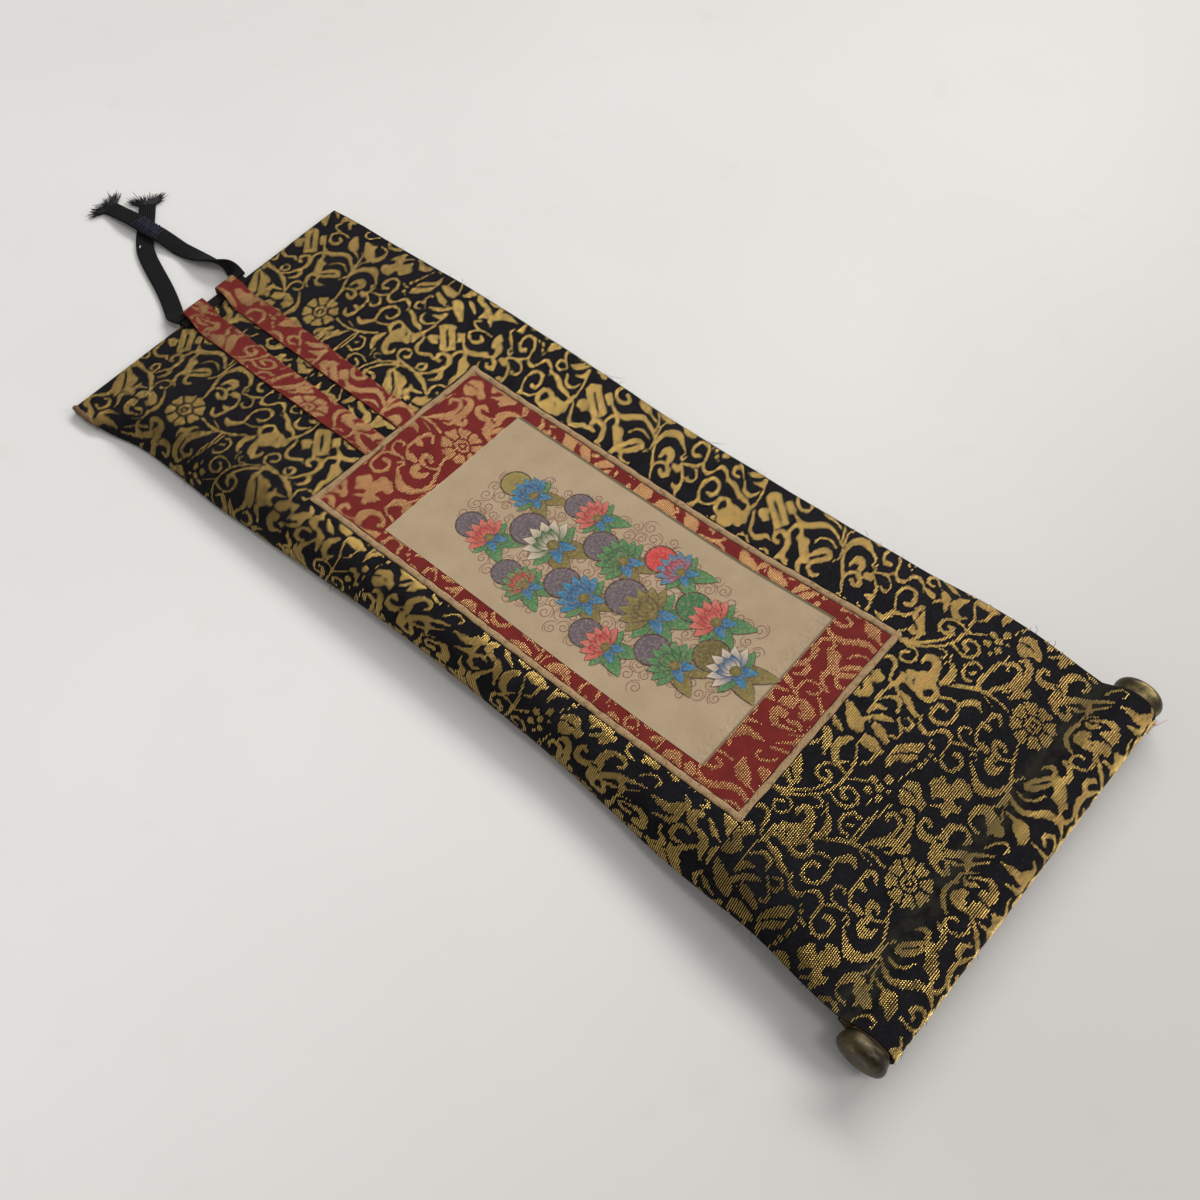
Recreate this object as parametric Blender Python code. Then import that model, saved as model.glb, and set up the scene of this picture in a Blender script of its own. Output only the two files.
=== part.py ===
"""A small Buddhist hanging scroll that lies face up with the curl it keeps from being rolled.

All sizes are in millimetres and become metres where a mesh is made. X runs across the scroll, +Y
towards its top edge, +Z up. The origin is on the surface, under the middle of the scroll.
A place on the cloth is given flat, as it was cut: `across` from the middle line, + to the right, and
`along` from the top edge down. `spread` lays such a place out on the curled cloth.
"""

from math import acos, atan2, cos, pi, radians, sin, tan

import bmesh
import bpy
import numpy as np
from mathutils import Vector

MM = 0.001

# Driving dimensions of the cloth
WIDTH = 100.0
CREASE = 264.0
SHEET = 1.0
GAP = 0.3
HEM_DEPTH = 7.0
HEM_BEVEL = 0.8

# The mounted panels, as places across and along
FRAME_LEFT = -31.9
FRAME_RIGHT = 29.1
FRAME_TOP = 82.8
FRAME_BOTTOM = 222.9
EDGING = 2.0
PICTURE_LEFT = -26.0
PICTURE_RIGHT = 23.2
PICTURE_TOP = 105.4
PICTURE_BOTTOM = 207.9

# The roller at the bottom
ROLL_RADIUS = 5.9
ROLL_SIDES = 24
ROLL_BEHIND_CREASE = 7.9
ROLL_YAW = radians(0.9)
DOWEL_RADIUS = 4.5
DOWEL_LENGTH = 106.4
CAP_START = 50.4
CAP_BORE = 4.85
CAP_BORE_DEPTH = 3.3
CAP_PROFILE = (
    (0.0, 5.35),
    (0.9, 5.4),
    (1.9, 5.75),
    (2.7, 5.9),
    (3.4, 5.8),
    (4.0, 5.35),
    (4.3, 4.7),
    (4.4, 0.0),
)
CAP_WIDEST_FROM_START = 2.7

# The flat hanging tape
TAPE_WIDTH = 4.7
TAPE_THICK = 1.0
TAPE_INSET = 0.2
TAPE_FROM = -13.0
TAPE_TO = 16.3

# How the cloth lies, one row for each station down the scroll.
# along: from the top edge. middle: height of the middle line above the surface.
# tilt: degrees by which the right side is higher. left_curl and right_curl: degrees by which
# each long edge has turned down.
FOLD_COLUMNS = ("along", "middle", "tilt", "left_curl", "right_curl")
FOLDS = (
    (0.0, 2.1, 0.0, 0.0, 0.0),
    (7.0, 2.9, 0.0, 8.0, 0.0),
    (25.0, 6.8, -2.4, 76.0, 4.0),
    (60.0, 8.2, -2.0, 84.0, 2.0),
    (100.0, 8.8, -3.2, 114.0, 0.0),
    (140.0, 9.4, -3.2, 130.0, 10.0),
    (180.0, 9.8, -2.4, 118.0, 10.0),
    (215.0, 12.4, -0.4, 74.0, 21.0),
    (240.0, 13.6, -1.0, 62.0, 12.0),
    (264.0, 7.8, 0.0, 0.0, 0.0),
)
LEFT_CURL_WIDTH = 17.5
RIGHT_CURL_WIDTH = 24.0
CURL_POWER = 1.5
CURL_SAMPLES = 201

# The longest face across, where the cloth curls, towards the right edge and where it is plain
CURL_SPACING = 2.2
EDGE_SPACING = 6.0
PLAIN_SPACING = 13.0
RIBBON_SPACING = 4.0
# The longest face down the scroll, in each piece
HEM_SPACING = 9.5
PANEL_SPACING = 10.5
BOTTOM_SPACING = 6.0
TAPE_SPACING = 8.0

# The two red ribbons over the top panel: the places of their long edges down the scroll
RIBBON_COLUMNS = ("along", "left", "right")
LEFT_RIBBON = (
    (0.0, -8.0, -0.6),
    (10.0, -10.0, -2.0),
    (20.0, -11.1, -3.1),
    (30.0, -11.9, -4.1),
    (45.0, -12.2, -4.4),
    (60.0, -12.3, -4.8),
    (82.0, -12.4, -5.0),
)
RIGHT_RIBBON = (
    (0.0, 4.6, 11.2),
    (10.0, 2.7, 10.2),
    (20.0, 1.5, 9.2),
    (30.0, 0.8, 8.5),
    (45.0, 0.4, 8.0),
    (60.0, 0.0, 7.3),
    (82.0, -0.5, 6.7),
)
RIBBON_ROWS = (6.5, 12.0, 20.0, 30.0, 42.0, 54.0, 66.0, 76.0, 82.0)
RIBBON_STANDS = 2.4
RIBBON_FOLD_START = 1.5

# The free legs of the tape, by hand: x, y from the top edge, height, and roll about its own line
LEG_COLUMNS = ("x", "beyond_edge", "height", "roll")
LEFT_LEG = (
    (-10.7, 0.1, 3.2, 0.0),
    (-10.8, 2.6, 2.7, 0.0),
    (-10.0, 4.4, 1.7, 0.0),
    (-8.3, 6.6, 0.8, 0.0),
    (-6.0, 11.6, 0.6, 0.0),
    (-4.0, 16.4, 0.6, 0.0),
    (-2.3, 21.1, 0.6, 0.0),
    (-0.7, 25.8, 0.6, 0.0),
    (1.1, 30.6, 0.6, 0.0),
    (3.2, 34.9, 0.6, 0.0),
    (5.8, 38.5, 0.6, 0.0),
    (8.7, 41.8, 0.6, 0.0),
    (11.7, 45.0, 0.6, 0.0),
    (14.2, 47.9, 0.6, 0.0),
    (16.2, 50.2, 0.6, 0.0),
)
RIGHT_LEG = (
    (13.9, 0.1, 3.2, 0.0),
    (13.9, 1.8, 3.0, 8.0),
    (13.4, 4.4, 2.7, 42.0),
    (12.9, 7.2, 2.6, 80.0),
    (12.5, 9.8, 2.5, 113.0),
    (12.1, 13.0, 2.2, 138.0),
    (11.2, 17.4, 1.6, 160.0),
    (10.6, 21.8, 1.0, 174.0),
    (10.1, 26.4, 0.7, 180.0),
    (9.8, 31.0, 1.3, 180.0),
    (9.4, 35.2, 1.95, 180.0),
    (9.0, 39.4, 1.95, 180.0),
    (8.7, 43.9, 1.95, 180.0),
    (8.4, 48.7, 1.95, 180.0),
    (8.1, 53.6, 1.2, 180.0),
    (7.8, 58.6, 0.7, 180.0),
)

# Colours as linear RGB, with roughness and metallic value
FINISHES = {
    "brocade": ((0.03, 0.026, 0.022), 0.6, 0.0),
    "red_brocade": ((0.25, 0.035, 0.03), 0.6, 0.0),
    "edging": ((0.42, 0.28, 0.15), 0.8, 0.0),
    "paper": ((0.50, 0.38, 0.26), 0.9, 0.0),
    "tape": ((0.012, 0.012, 0.014), 0.75, 0.0),
    "wood": ((0.32, 0.2, 0.11), 0.7, 0.0),
    "brass": ((0.22, 0.17, 0.08), 0.45, 1.0),
}


def column(table, columns, name):
    """One named column of a table, as an array."""
    return np.array([row[columns.index(name)] for row in table])


def through(stations, values, at):
    """A smooth curve through the values at the stations, read at `at`."""
    slopes = np.gradient(values, stations)
    slopes[1:-1] = (values[2:] - values[:-2]) / (stations[2:] - stations[:-2])
    at = np.clip(at, stations[0], stations[-1])
    i = np.clip(np.searchsorted(stations, at) - 1, 0, len(stations) - 2)
    step = stations[i + 1] - stations[i]
    t = (at - stations[i]) / step
    start = (1 + 2 * t) * (1 - t) ** 2 * values[i] + t * (1 - t) ** 2 * step * slopes[i]
    end = t**2 * (3 - 2 * t) * values[i + 1] - t**2 * (1 - t) * step * slopes[i + 1]
    return start + end


def fold(name, along):
    """A column of the fold table, read anywhere down the scroll."""
    stations = column(FOLDS, FOLD_COLUMNS, "along")
    return through(stations, column(FOLDS, FOLD_COLUMNS, name), along)


FINE_ALONG = np.linspace(0.0, CREASE, 529)
FINE_RISE = np.gradient(fold("middle", FINE_ALONG), FINE_ALONG)
FINE_RUN = np.cumsum(np.sqrt(1 - FINE_RISE**2)) * (FINE_ALONG[1] - FINE_ALONG[0])
FINE_RUN -= FINE_RUN[0]
CREASE_RUN = FINE_RUN[-1]
ROLL_HEIGHT = ROLL_RADIUS * cos(pi / ROLL_SIDES)
ROLL_LEAN = tan(ROLL_YAW) * (CAP_START + CAP_WIDEST_FROM_START)
WHOLE_RUN = CREASE_RUN + ROLL_BEHIND_CREASE + ROLL_HEIGHT + ROLL_LEAN
TOP_Y = (WHOLE_RUN - RIBBON_STANDS) / 2


def run(along):
    """How far from the top edge a place lies, measured level."""
    return np.interp(along, FINE_ALONG, FINE_RUN)


def turn(across, along):
    """The angle at which the cloth rises to the right, in radians."""
    half = WIDTH / 2
    into_left = np.clip((-across - half + LEFT_CURL_WIDTH) / LEFT_CURL_WIDTH, 0, 1)
    into_right = np.clip((across - half + RIGHT_CURL_WIDTH) / RIGHT_CURL_WIDTH, 0, 1)
    angle = fold("tilt", along) + fold("left_curl", along) * into_left**CURL_POWER
    return np.radians(angle - fold("right_curl", along) * into_right**CURL_POWER)


def spread(across, along, lift=0.0):
    """The point of the curled cloth's upper face at a flat place, `lift` above it."""
    fine = np.linspace(-WIDTH / 2, WIDTH / 2, CURL_SAMPLES)
    angle = turn(fine, along)
    step = fine[1] - fine[0]
    level = np.cumsum(np.cos(angle)) * step
    climb = np.cumsum(np.sin(angle)) * step
    x = np.interp(across, fine, level) - np.interp(0.0, fine, level)
    z = np.interp(across, fine, climb) - np.interp(0.0, fine, climb) + fold("middle", along)
    rise = np.interp(along, FINE_ALONG, FINE_RISE)
    here = turn(np.array(across), along)
    flat = np.sqrt(1 - rise**2)
    normal = Vector((-flat * sin(here), rise * cos(here), flat * cos(here))).normalized()
    return Vector((x, TOP_Y - run(along), z)) + lift * normal


def finish_of(name):
    """The material of one finish, made once."""
    if name in bpy.data.materials:
        return bpy.data.materials[name]
    colour, roughness, metallic = FINISHES[name]
    material = bpy.data.materials.new(name)
    material.use_nodes = True
    shader = material.node_tree.nodes["Principled BSDF"]
    shader.inputs["Base Color"].default_value = (*colour, 1.0)
    shader.inputs["Roughness"].default_value = roughness
    shader.inputs["Metallic"].default_value = metallic
    return material


def add_object(name, mesh, finish, smooth_angle=40.0):
    """An object of this mesh, faces outwards, in millimetres until here."""
    shape = bmesh.new()
    shape.from_mesh(mesh)
    bmesh.ops.recalc_face_normals(shape, faces=shape.faces)
    bmesh.ops.scale(shape, vec=(MM, MM, MM), verts=shape.verts)
    shape.to_mesh(mesh)
    shape.free()
    mesh.shade_smooth()
    mesh.set_sharp_from_angle(angle=radians(smooth_angle))
    piece = bpy.data.objects.new(name, mesh)
    piece.data.materials.append(finish_of(finish))
    bpy.context.scene.collection.objects.link(piece)
    return piece


def closed_grid(name, upper, lower, finish):
    """A sheet with an upper and a lower face, both given as rows of points."""
    rows, columns = len(upper), len(upper[0])
    points = [p for row in upper for p in row] + [p for row in lower for p in row]
    under = rows * columns
    faces = []
    for i in range(rows - 1):
        for j in range(columns - 1):
            a, b = i * columns + j, (i + 1) * columns + j
            faces.append((a, a + 1, b + 1, b))
            faces.append((under + b, under + b + 1, under + a + 1, under + a))
    rim = [(0, j) for j in range(columns)]
    rim += [(i, columns - 1) for i in range(1, rows)]
    rim += [(rows - 1, j) for j in range(columns - 2, -1, -1)]
    rim += [(i, 0) for i in range(rows - 2, 0, -1)]
    for (i, j), (k, m) in zip(rim, rim[1:] + rim[:1]):
        a, b = i * columns + j, k * columns + m
        faces.append((b, a, under + a, under + b))
    mesh = bpy.data.meshes.new(name)
    mesh.from_pydata([tuple(p) for p in points], [], faces)
    return add_object(name, mesh, finish)


def places(start, end, longest):
    """Even places from start to end, no further apart than `longest`."""
    count = max(1, int(np.ceil(abs(end - start) / longest)))
    return list(np.linspace(start, end, count + 1))


def columns_between(left, right):
    """Places across a piece, close together where the long edges curl."""
    curl_left = -WIDTH / 2 + LEFT_CURL_WIDTH
    curl_right = WIDTH / 2 - RIGHT_CURL_WIDTH
    stops = [left] + [s for s in (curl_left, curl_right) if left + 1 < s < right - 1] + [right]
    found = [left]
    for start, end in zip(stops, stops[1:]):
        middle = (start + end) / 2
        spacing = EDGE_SPACING if middle > curl_right else PLAIN_SPACING
        spacing = CURL_SPACING if middle < curl_left else spacing
        found += places(start, end, spacing)[1:]
    return found


def panel(name, left, right, top, bottom, finish):
    """A flat-cut piece of the mounting between four places."""
    across = columns_between(left, right)
    along = places(top, bottom, PANEL_SPACING)
    upper = [[spread(u, v) for u in across] for v in along]
    lower = [[spread(u, v, -SHEET) for u in across] for v in along]
    return closed_grid(name, upper, lower, finish)


def top_panel():
    """The brocade above the frame, its top edge turned under as a hem that lies on the surface."""
    half = WIDTH / 2
    across = columns_between(-half, half)
    body = places(HEM_DEPTH + 0.4, FRAME_TOP - GAP / 2, HEM_SPACING)
    hem = (0.0, HEM_BEVEL, HEM_DEPTH)
    upper = [[spread(u, v, -HEM_BEVEL if v == 0 else 0) for u in across] for v in (*hem, *body)]
    lower = []
    for v in hem:
        heights = HEM_BEVEL / 2 if v == 0 else 0.0
        lower.append([Vector((*spread(u, v).xy, heights)) for u in across])
    lower += [[spread(u, v, -SHEET) for u in across] for v in body]
    return closed_grid("top_panel", upper, lower, "brocade")


def roll_path():
    """The outer face round the roller as (y behind the crease, z, outward y, outward z)."""
    centre = Vector((-ROLL_BEHIND_CREASE, ROLL_HEIGHT))
    start = Vector((0.0, FOLDS[-1][FOLD_COLUMNS.index("middle")]))
    end = start - Vector((0.0, 2 * SHEET + GAP))
    angles = []
    for point, side in ((start, 1), (end, -1)):
        reach = point - centre
        angles.append(atan2(reach.y, reach.x) + side * acos(ROLL_RADIUS / reach.length))
    first, last = angles[0], 2 * pi + angles[1]
    step = 2 * pi / ROLL_SIDES
    facets = [(k + 0.5) * step for k in range(-ROLL_SIDES, 2 * ROLL_SIDES)]
    inner = [a for a in facets if first + step / 3 < a < last - step / 3]
    path = []
    for angle in (first, *inner, last):
        out = Vector((cos(angle), sin(angle)))
        point = centre + ROLL_RADIUS * out
        path.append((point.x, point.y, out.x, out.y))
    path.append((end.x, end.y, path[-1][2], path[-1][3]))
    return path


def bottom_panel():
    """The brocade below the frame, carried round the roller and back up behind the crease."""
    half = WIDTH / 2
    across = columns_between(-half, half)
    along = places(FRAME_BOTTOM + GAP / 2, CREASE, BOTTOM_SPACING)
    upper = [[spread(u, v) for u in across] for v in along]
    lower = [[spread(u, v, -SHEET) for u in across] for v in along]
    lean = tan(ROLL_YAW)
    for y, z, out_y, out_z in roll_path():
        row = [Vector((u, TOP_Y - CREASE_RUN + y - lean * u, z)) for u in across]
        upper.append(row)
        lower.append([p - SHEET * Vector((0.0, out_y, out_z)) for p in row])
    return closed_grid("bottom_panel", upper, lower, "brocade")


def framed_panels():
    """The side strips of brocade, the red bands, the tan edging and the picture's paper."""
    half, gap = WIDTH / 2, GAP / 2
    left, right, top, bottom = FRAME_LEFT, FRAME_RIGHT, FRAME_TOP, FRAME_BOTTOM
    in_left, in_right = left + EDGING, right - EDGING
    in_top, in_bottom = top + EDGING, bottom - EDGING
    cuts = (
        ("side_strip_left", -half, left, top, bottom, "brocade"),
        ("side_strip_right", right, half, top, bottom, "brocade"),
        ("edging_top", left, right, top, in_top, "edging"),
        ("edging_bottom", left, right, in_bottom, bottom, "edging"),
        ("edging_left", left, in_left, in_top, in_bottom, "edging"),
        ("edging_right", in_right, right, in_top, in_bottom, "edging"),
        ("band_top", in_left, in_right, in_top, PICTURE_TOP, "red_brocade"),
        ("band_bottom", in_left, in_right, PICTURE_BOTTOM, in_bottom, "red_brocade"),
        ("band_left", in_left, PICTURE_LEFT, PICTURE_TOP, PICTURE_BOTTOM, "red_brocade"),
        ("band_right", PICTURE_RIGHT, in_right, PICTURE_TOP, PICTURE_BOTTOM, "red_brocade"),
        ("picture_paper", PICTURE_LEFT, PICTURE_RIGHT, PICTURE_TOP, PICTURE_BOTTOM, "paper"),
    )
    for name, x0, x1, y0, y1, finish in cuts:
        x0 += gap if x0 > -half else 0.0
        x1 -= gap if x1 < half else 0.0
        panel(name, x0, x1, y0 + gap, y1 - gap, finish)


def ribbon(name, edges):
    """A red ribbon that folds over the top edge and hangs down the panel to the frame."""
    stations = column(edges, RIBBON_COLUMNS, "along")
    sides = [column(edges, RIBBON_COLUMNS, side) for side in ("left", "right")]
    top = spread(0.0, 0.0).z
    turning = (
        (RIBBON_STANDS, RIBBON_FOLD_START, 1.0, 0.0),
        (RIBBON_STANDS, top + 0.9, 1.0, 0.0),
        (RIBBON_STANDS - 0.7, top + 2.3, 0.71, 0.71),
    )
    start = places(sides[0][0], sides[1][0], RIBBON_SPACING)
    upper, lower = [], []
    for beyond, z, out_y, out_z in turning:
        row = [Vector((x, TOP_Y + beyond, z)) for x in start]
        upper.append(row)
        lower.append([p - SHEET * Vector((0.0, out_y, out_z)) for p in row])
    for v in (RIBBON_FOLD_START, *RIBBON_ROWS):
        left, right = (float(through(stations, side, v)) for side in sides)
        across = np.linspace(left, right, len(start))
        lift = 2 * GAP + TAPE_THICK if v <= RIBBON_ROWS[0] else GAP
        upper.append([spread(u, v, lift + SHEET) for u in across])
        lower.append([spread(u, v, lift) for u in across])
    return closed_grid(name, upper, lower, "red_brocade")


def tape_held():
    """The stretch of the tape that lies on the hem, under the ribbons."""
    near, far = TAPE_INSET, TAPE_INSET + TAPE_WIDTH
    across = places(TAPE_FROM, TAPE_TO, TAPE_SPACING)
    upper = [[spread(u, v, GAP + TAPE_THICK) for u in across] for v in (near, far)]
    lower = [[spread(u, v, GAP) for u in across] for v in (near, far)]
    return closed_grid("tape_held", upper, lower, "tape")


def tape_leg(name, rows):
    """A free leg of the tape, swept along its hand-placed line."""
    points = [Vector((x, TOP_Y + beyond, z)) for x, beyond, z, _ in rows]
    upper, lower = [], []
    for i, point in enumerate(points):
        ahead = points[min(i + 1, len(points) - 1)] - points[max(i - 1, 0)]
        ahead = Vector((0.0, 1.0, 0.0)) if i == 0 else ahead.normalized()
        side = ahead.cross(Vector((0.0, 0.0, 1.0))).normalized()
        up = side.cross(ahead)
        roll = radians(rows[i][LEG_COLUMNS.index("roll")])
        wide = (cos(roll) * side + sin(roll) * up) * TAPE_WIDTH / 2
        thick = (cos(roll) * up - sin(roll) * side) * TAPE_THICK / 2
        upper.append([point - wide + thick, point + wide + thick])
        lower.append([point - wide - thick, point + wide - thick])
    return closed_grid(name, upper, lower, "tape")


def turned(name, profile, finish):
    """A closed shape turned about its own X axis from (x, radius) points that start and end on it."""
    sides = ROLL_SIDES
    points, rings = [], []
    for x, radius in profile:
        if radius == 0:
            rings.append([len(points)] * sides)
            points.append((x, 0.0, 0.0))
            continue
        rings.append(list(range(len(points), len(points) + sides)))
        for k in range(sides):
            angle = 2 * pi * (k + 0.5) / sides
            points.append((x, radius * cos(angle), radius * sin(angle)))
    faces = []
    for ring, following in zip(rings, rings[1:]):
        for k in range(sides):
            n = (k + 1) % sides
            corners = (ring[k], ring[n], following[n], following[k])
            faces.append(tuple(dict.fromkeys(corners)))
    mesh = bpy.data.meshes.new(name)
    mesh.from_pydata(points, [], faces)
    piece = add_object(name, mesh, finish)
    piece.location = Vector((0.0, TOP_Y - CREASE_RUN - ROLL_BEHIND_CREASE, ROLL_HEIGHT)) * MM
    piece.rotation_euler.z = -ROLL_YAW
    return piece


def roller():
    """The wooden dowel in the roll and the brass cup on each of its ends."""
    half = DOWEL_LENGTH / 2
    turned("dowel", ((-half, 0.0), (-half, DOWEL_RADIUS), (half, DOWEL_RADIUS), (half, 0.0)), "wood")
    bore_end = CAP_START + CAP_BORE_DEPTH
    bore = ((bore_end, 0.0), (bore_end, CAP_BORE), (CAP_START, CAP_BORE))
    cup = bore + tuple((CAP_START + x, radius) for x, radius in CAP_PROFILE)
    turned("cap_right", cup, "brass")
    turned("cap_left", tuple((-x, radius) for x, radius in cup), "brass")


def main():
    for old in list(bpy.data.objects):
        bpy.data.objects.remove(old)
    top_panel()
    framed_panels()
    bottom_panel()
    ribbon("ribbon_left", LEFT_RIBBON)
    ribbon("ribbon_right", RIGHT_RIBBON)
    tape_held()
    tape_leg("tape_leg_left", LEFT_LEG)
    tape_leg("tape_leg_right", RIGHT_LEG)
    roller()


main()
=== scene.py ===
from math import acos, atan2, cos, pi, radians, sin, tan

import bpy
import numpy as np
from mathutils import Matrix


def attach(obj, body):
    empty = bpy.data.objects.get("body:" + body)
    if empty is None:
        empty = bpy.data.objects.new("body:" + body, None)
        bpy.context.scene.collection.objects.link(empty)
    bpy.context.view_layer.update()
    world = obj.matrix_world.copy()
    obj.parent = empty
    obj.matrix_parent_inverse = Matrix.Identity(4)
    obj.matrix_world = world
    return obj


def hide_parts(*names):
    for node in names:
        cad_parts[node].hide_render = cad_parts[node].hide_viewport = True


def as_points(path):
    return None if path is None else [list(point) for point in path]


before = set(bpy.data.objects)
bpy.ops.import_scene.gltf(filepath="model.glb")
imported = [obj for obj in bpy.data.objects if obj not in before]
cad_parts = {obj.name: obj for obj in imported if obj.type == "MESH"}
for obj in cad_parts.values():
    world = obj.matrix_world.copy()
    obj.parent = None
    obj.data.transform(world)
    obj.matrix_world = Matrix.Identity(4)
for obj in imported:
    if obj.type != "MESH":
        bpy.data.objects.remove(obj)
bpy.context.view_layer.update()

# The cloth is laid out in millimetres: `across` from the middle line, `along` from the top edge down.
MM = 0.001
chance = np.random.default_rng(20)

WIDTH = 100.0
CREASE = 264.0
FRAME_LEFT, FRAME_RIGHT = -31.9, 29.1
FRAME_TOP, FRAME_BOTTOM = 82.8, 222.9
EDGING = 2.0
PICTURE_LEFT, PICTURE_RIGHT = -26.0, 23.2
PICTURE_TOP, PICTURE_BOTTOM = 105.4, 207.9

ROLL_RADIUS = 5.85
ROLL_BEHIND_CREASE = 7.9
ROLL_YAW = radians(0.9)
GLUED_DROP = 2.3
LEAN_START = 250.0
TOP_Y = 137.3606
CREASE_RUN = 262.5376
CAP_START = 50.4

TAPE_WIDTH = 5.4
TAPE_THICK = 0.9
TUFT_THREADS = 200
PAPER_LIFT = 0.12
PAPER_OVERLAP = 0.2
EDGING_LIFT = 0.22

# In metres: the least width of a sheet.
LEAST_WIDTH = 0.010

# How far apart a sheet's points are, across and along.
ACROSS_STEP = 0.9
ALONG_STEP = 1.3

# How thick the panels, the strips and bands, and the picture paper are with their lining.
PANEL_THICK = 0.6
STRIP_THICK = 0.7
PAPER_THICK = 0.5

# How far, in metres, the table is below the cloth, and how strong the light of the room is.
TABLE_DROP = 0.00013
ROOM_LIGHT = 0.44

# The photograph's width and its lens, both in its pixels, and the camera's film in millimetres.
PHOTO_PIXELS = 1200
FOCAL_PIXELS = 1327.405
FILM_WIDTH = 36.0

# along, height of the middle, tilt, and the degrees by which each long edge has turned down
FOLDS = np.array((
    (0.0, 2.1, 0.0, 0.0, 0.0),
    (7.0, 2.9, 0.0, 8.0, 0.0),
    (25.0, 6.8, -2.4, 76.0, 4.0),
    (60.0, 8.2, -2.0, 84.0, 2.0),
    (100.0, 8.8, -3.2, 114.0, 0.0),
    (140.0, 9.4, -3.2, 130.0, 10.0),
    (180.0, 9.8, -2.4, 118.0, 10.0),
    (215.0, 12.4, -0.4, 74.0, 21.0),
    (240.0, 13.6, -1.0, 62.0, 12.0),
    (264.0, 7.8, 0.0, 0.0, 0.0),
))
MIDDLE, TILT, LEFT_CURL, RIGHT_CURL = 1, 2, 3, 4
LEFT_CURL_WIDTH = 17.5
RIGHT_CURL_WIDTH = 24.0
CURL_POWER = 1.5

# along, left edge, right edge of each red ribbon
LEFT_RIBBON = np.array((
    (-6.0, -8.0, -0.6),
    (0.0, -8.0, -0.6),
    (10.0, -10.0, -2.0),
    (20.0, -11.1, -3.1),
    (30.0, -11.9, -4.1),
    (45.0, -12.2, -4.4),
    (60.0, -12.3, -4.8),
    (83.6, -12.4, -5.0),
))
RIGHT_RIBBON = np.array((
    (-6.0, 4.6, 11.2),
    (0.0, 4.6, 11.2),
    (10.0, 2.7, 10.2),
    (20.0, 1.5, 9.2),
    (30.0, 0.8, 8.5),
    (45.0, 0.4, 8.0),
    (60.0, 0.0, 7.3),
    (83.6, -0.5, 6.7),
))

# x, y beyond the top edge, height, and roll in degrees of the tape's two free legs
LEFT_LEG = np.array((
    (-9.7, 0.1, 3.0, 0.0),
    (-9.9, 2.6, 2.6, 0.0),
    (-9.4, 4.6, 1.7, 0.0),
    (-8.2, 6.9, 0.9, 0.0),
    (-6.0, 11.6, 0.6, 0.0),
    (-4.0, 16.4, 0.6, 0.0),
    (-2.3, 21.1, 0.6, 0.0),
    (-0.7, 25.8, 0.6, 0.0),
    (1.1, 30.6, 0.6, 0.0),
    (3.2, 34.9, 0.6, 0.0),
    (5.8, 38.5, 0.6, 0.0),
    (8.7, 41.8, 0.6, 0.0),
    (11.7, 45.0, 0.6, 0.0),
    (14.2, 47.9, 0.6, 0.0),
    (16.2, 50.2, 0.6, 0.0),
))
RIGHT_LEG = np.array((
    (12.9, 0.1, 3.1, 0.0),
    (13.1, 1.8, 3.0, 8.0),
    (13.1, 4.4, 2.7, 42.0),
    (12.9, 7.2, 2.6, 80.0),
    (12.5, 9.8, 2.5, 113.0),
    (12.1, 13.0, 2.2, 138.0),
    (11.2, 17.4, 1.6, 160.0),
    (10.6, 21.8, 1.0, 174.0),
    (10.1, 26.4, 0.7, 180.0),
    (9.8, 31.0, 1.3, 180.0),
    (9.4, 35.2, 1.95, 180.0),
    (9.0, 39.4, 1.95, 180.0),
    (8.7, 43.9, 1.95, 180.0),
    (8.4, 48.7, 1.95, 180.0),
    (8.1, 53.6, 1.2, 180.0),
    (7.8, 58.6, 0.7, 180.0),
))

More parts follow.
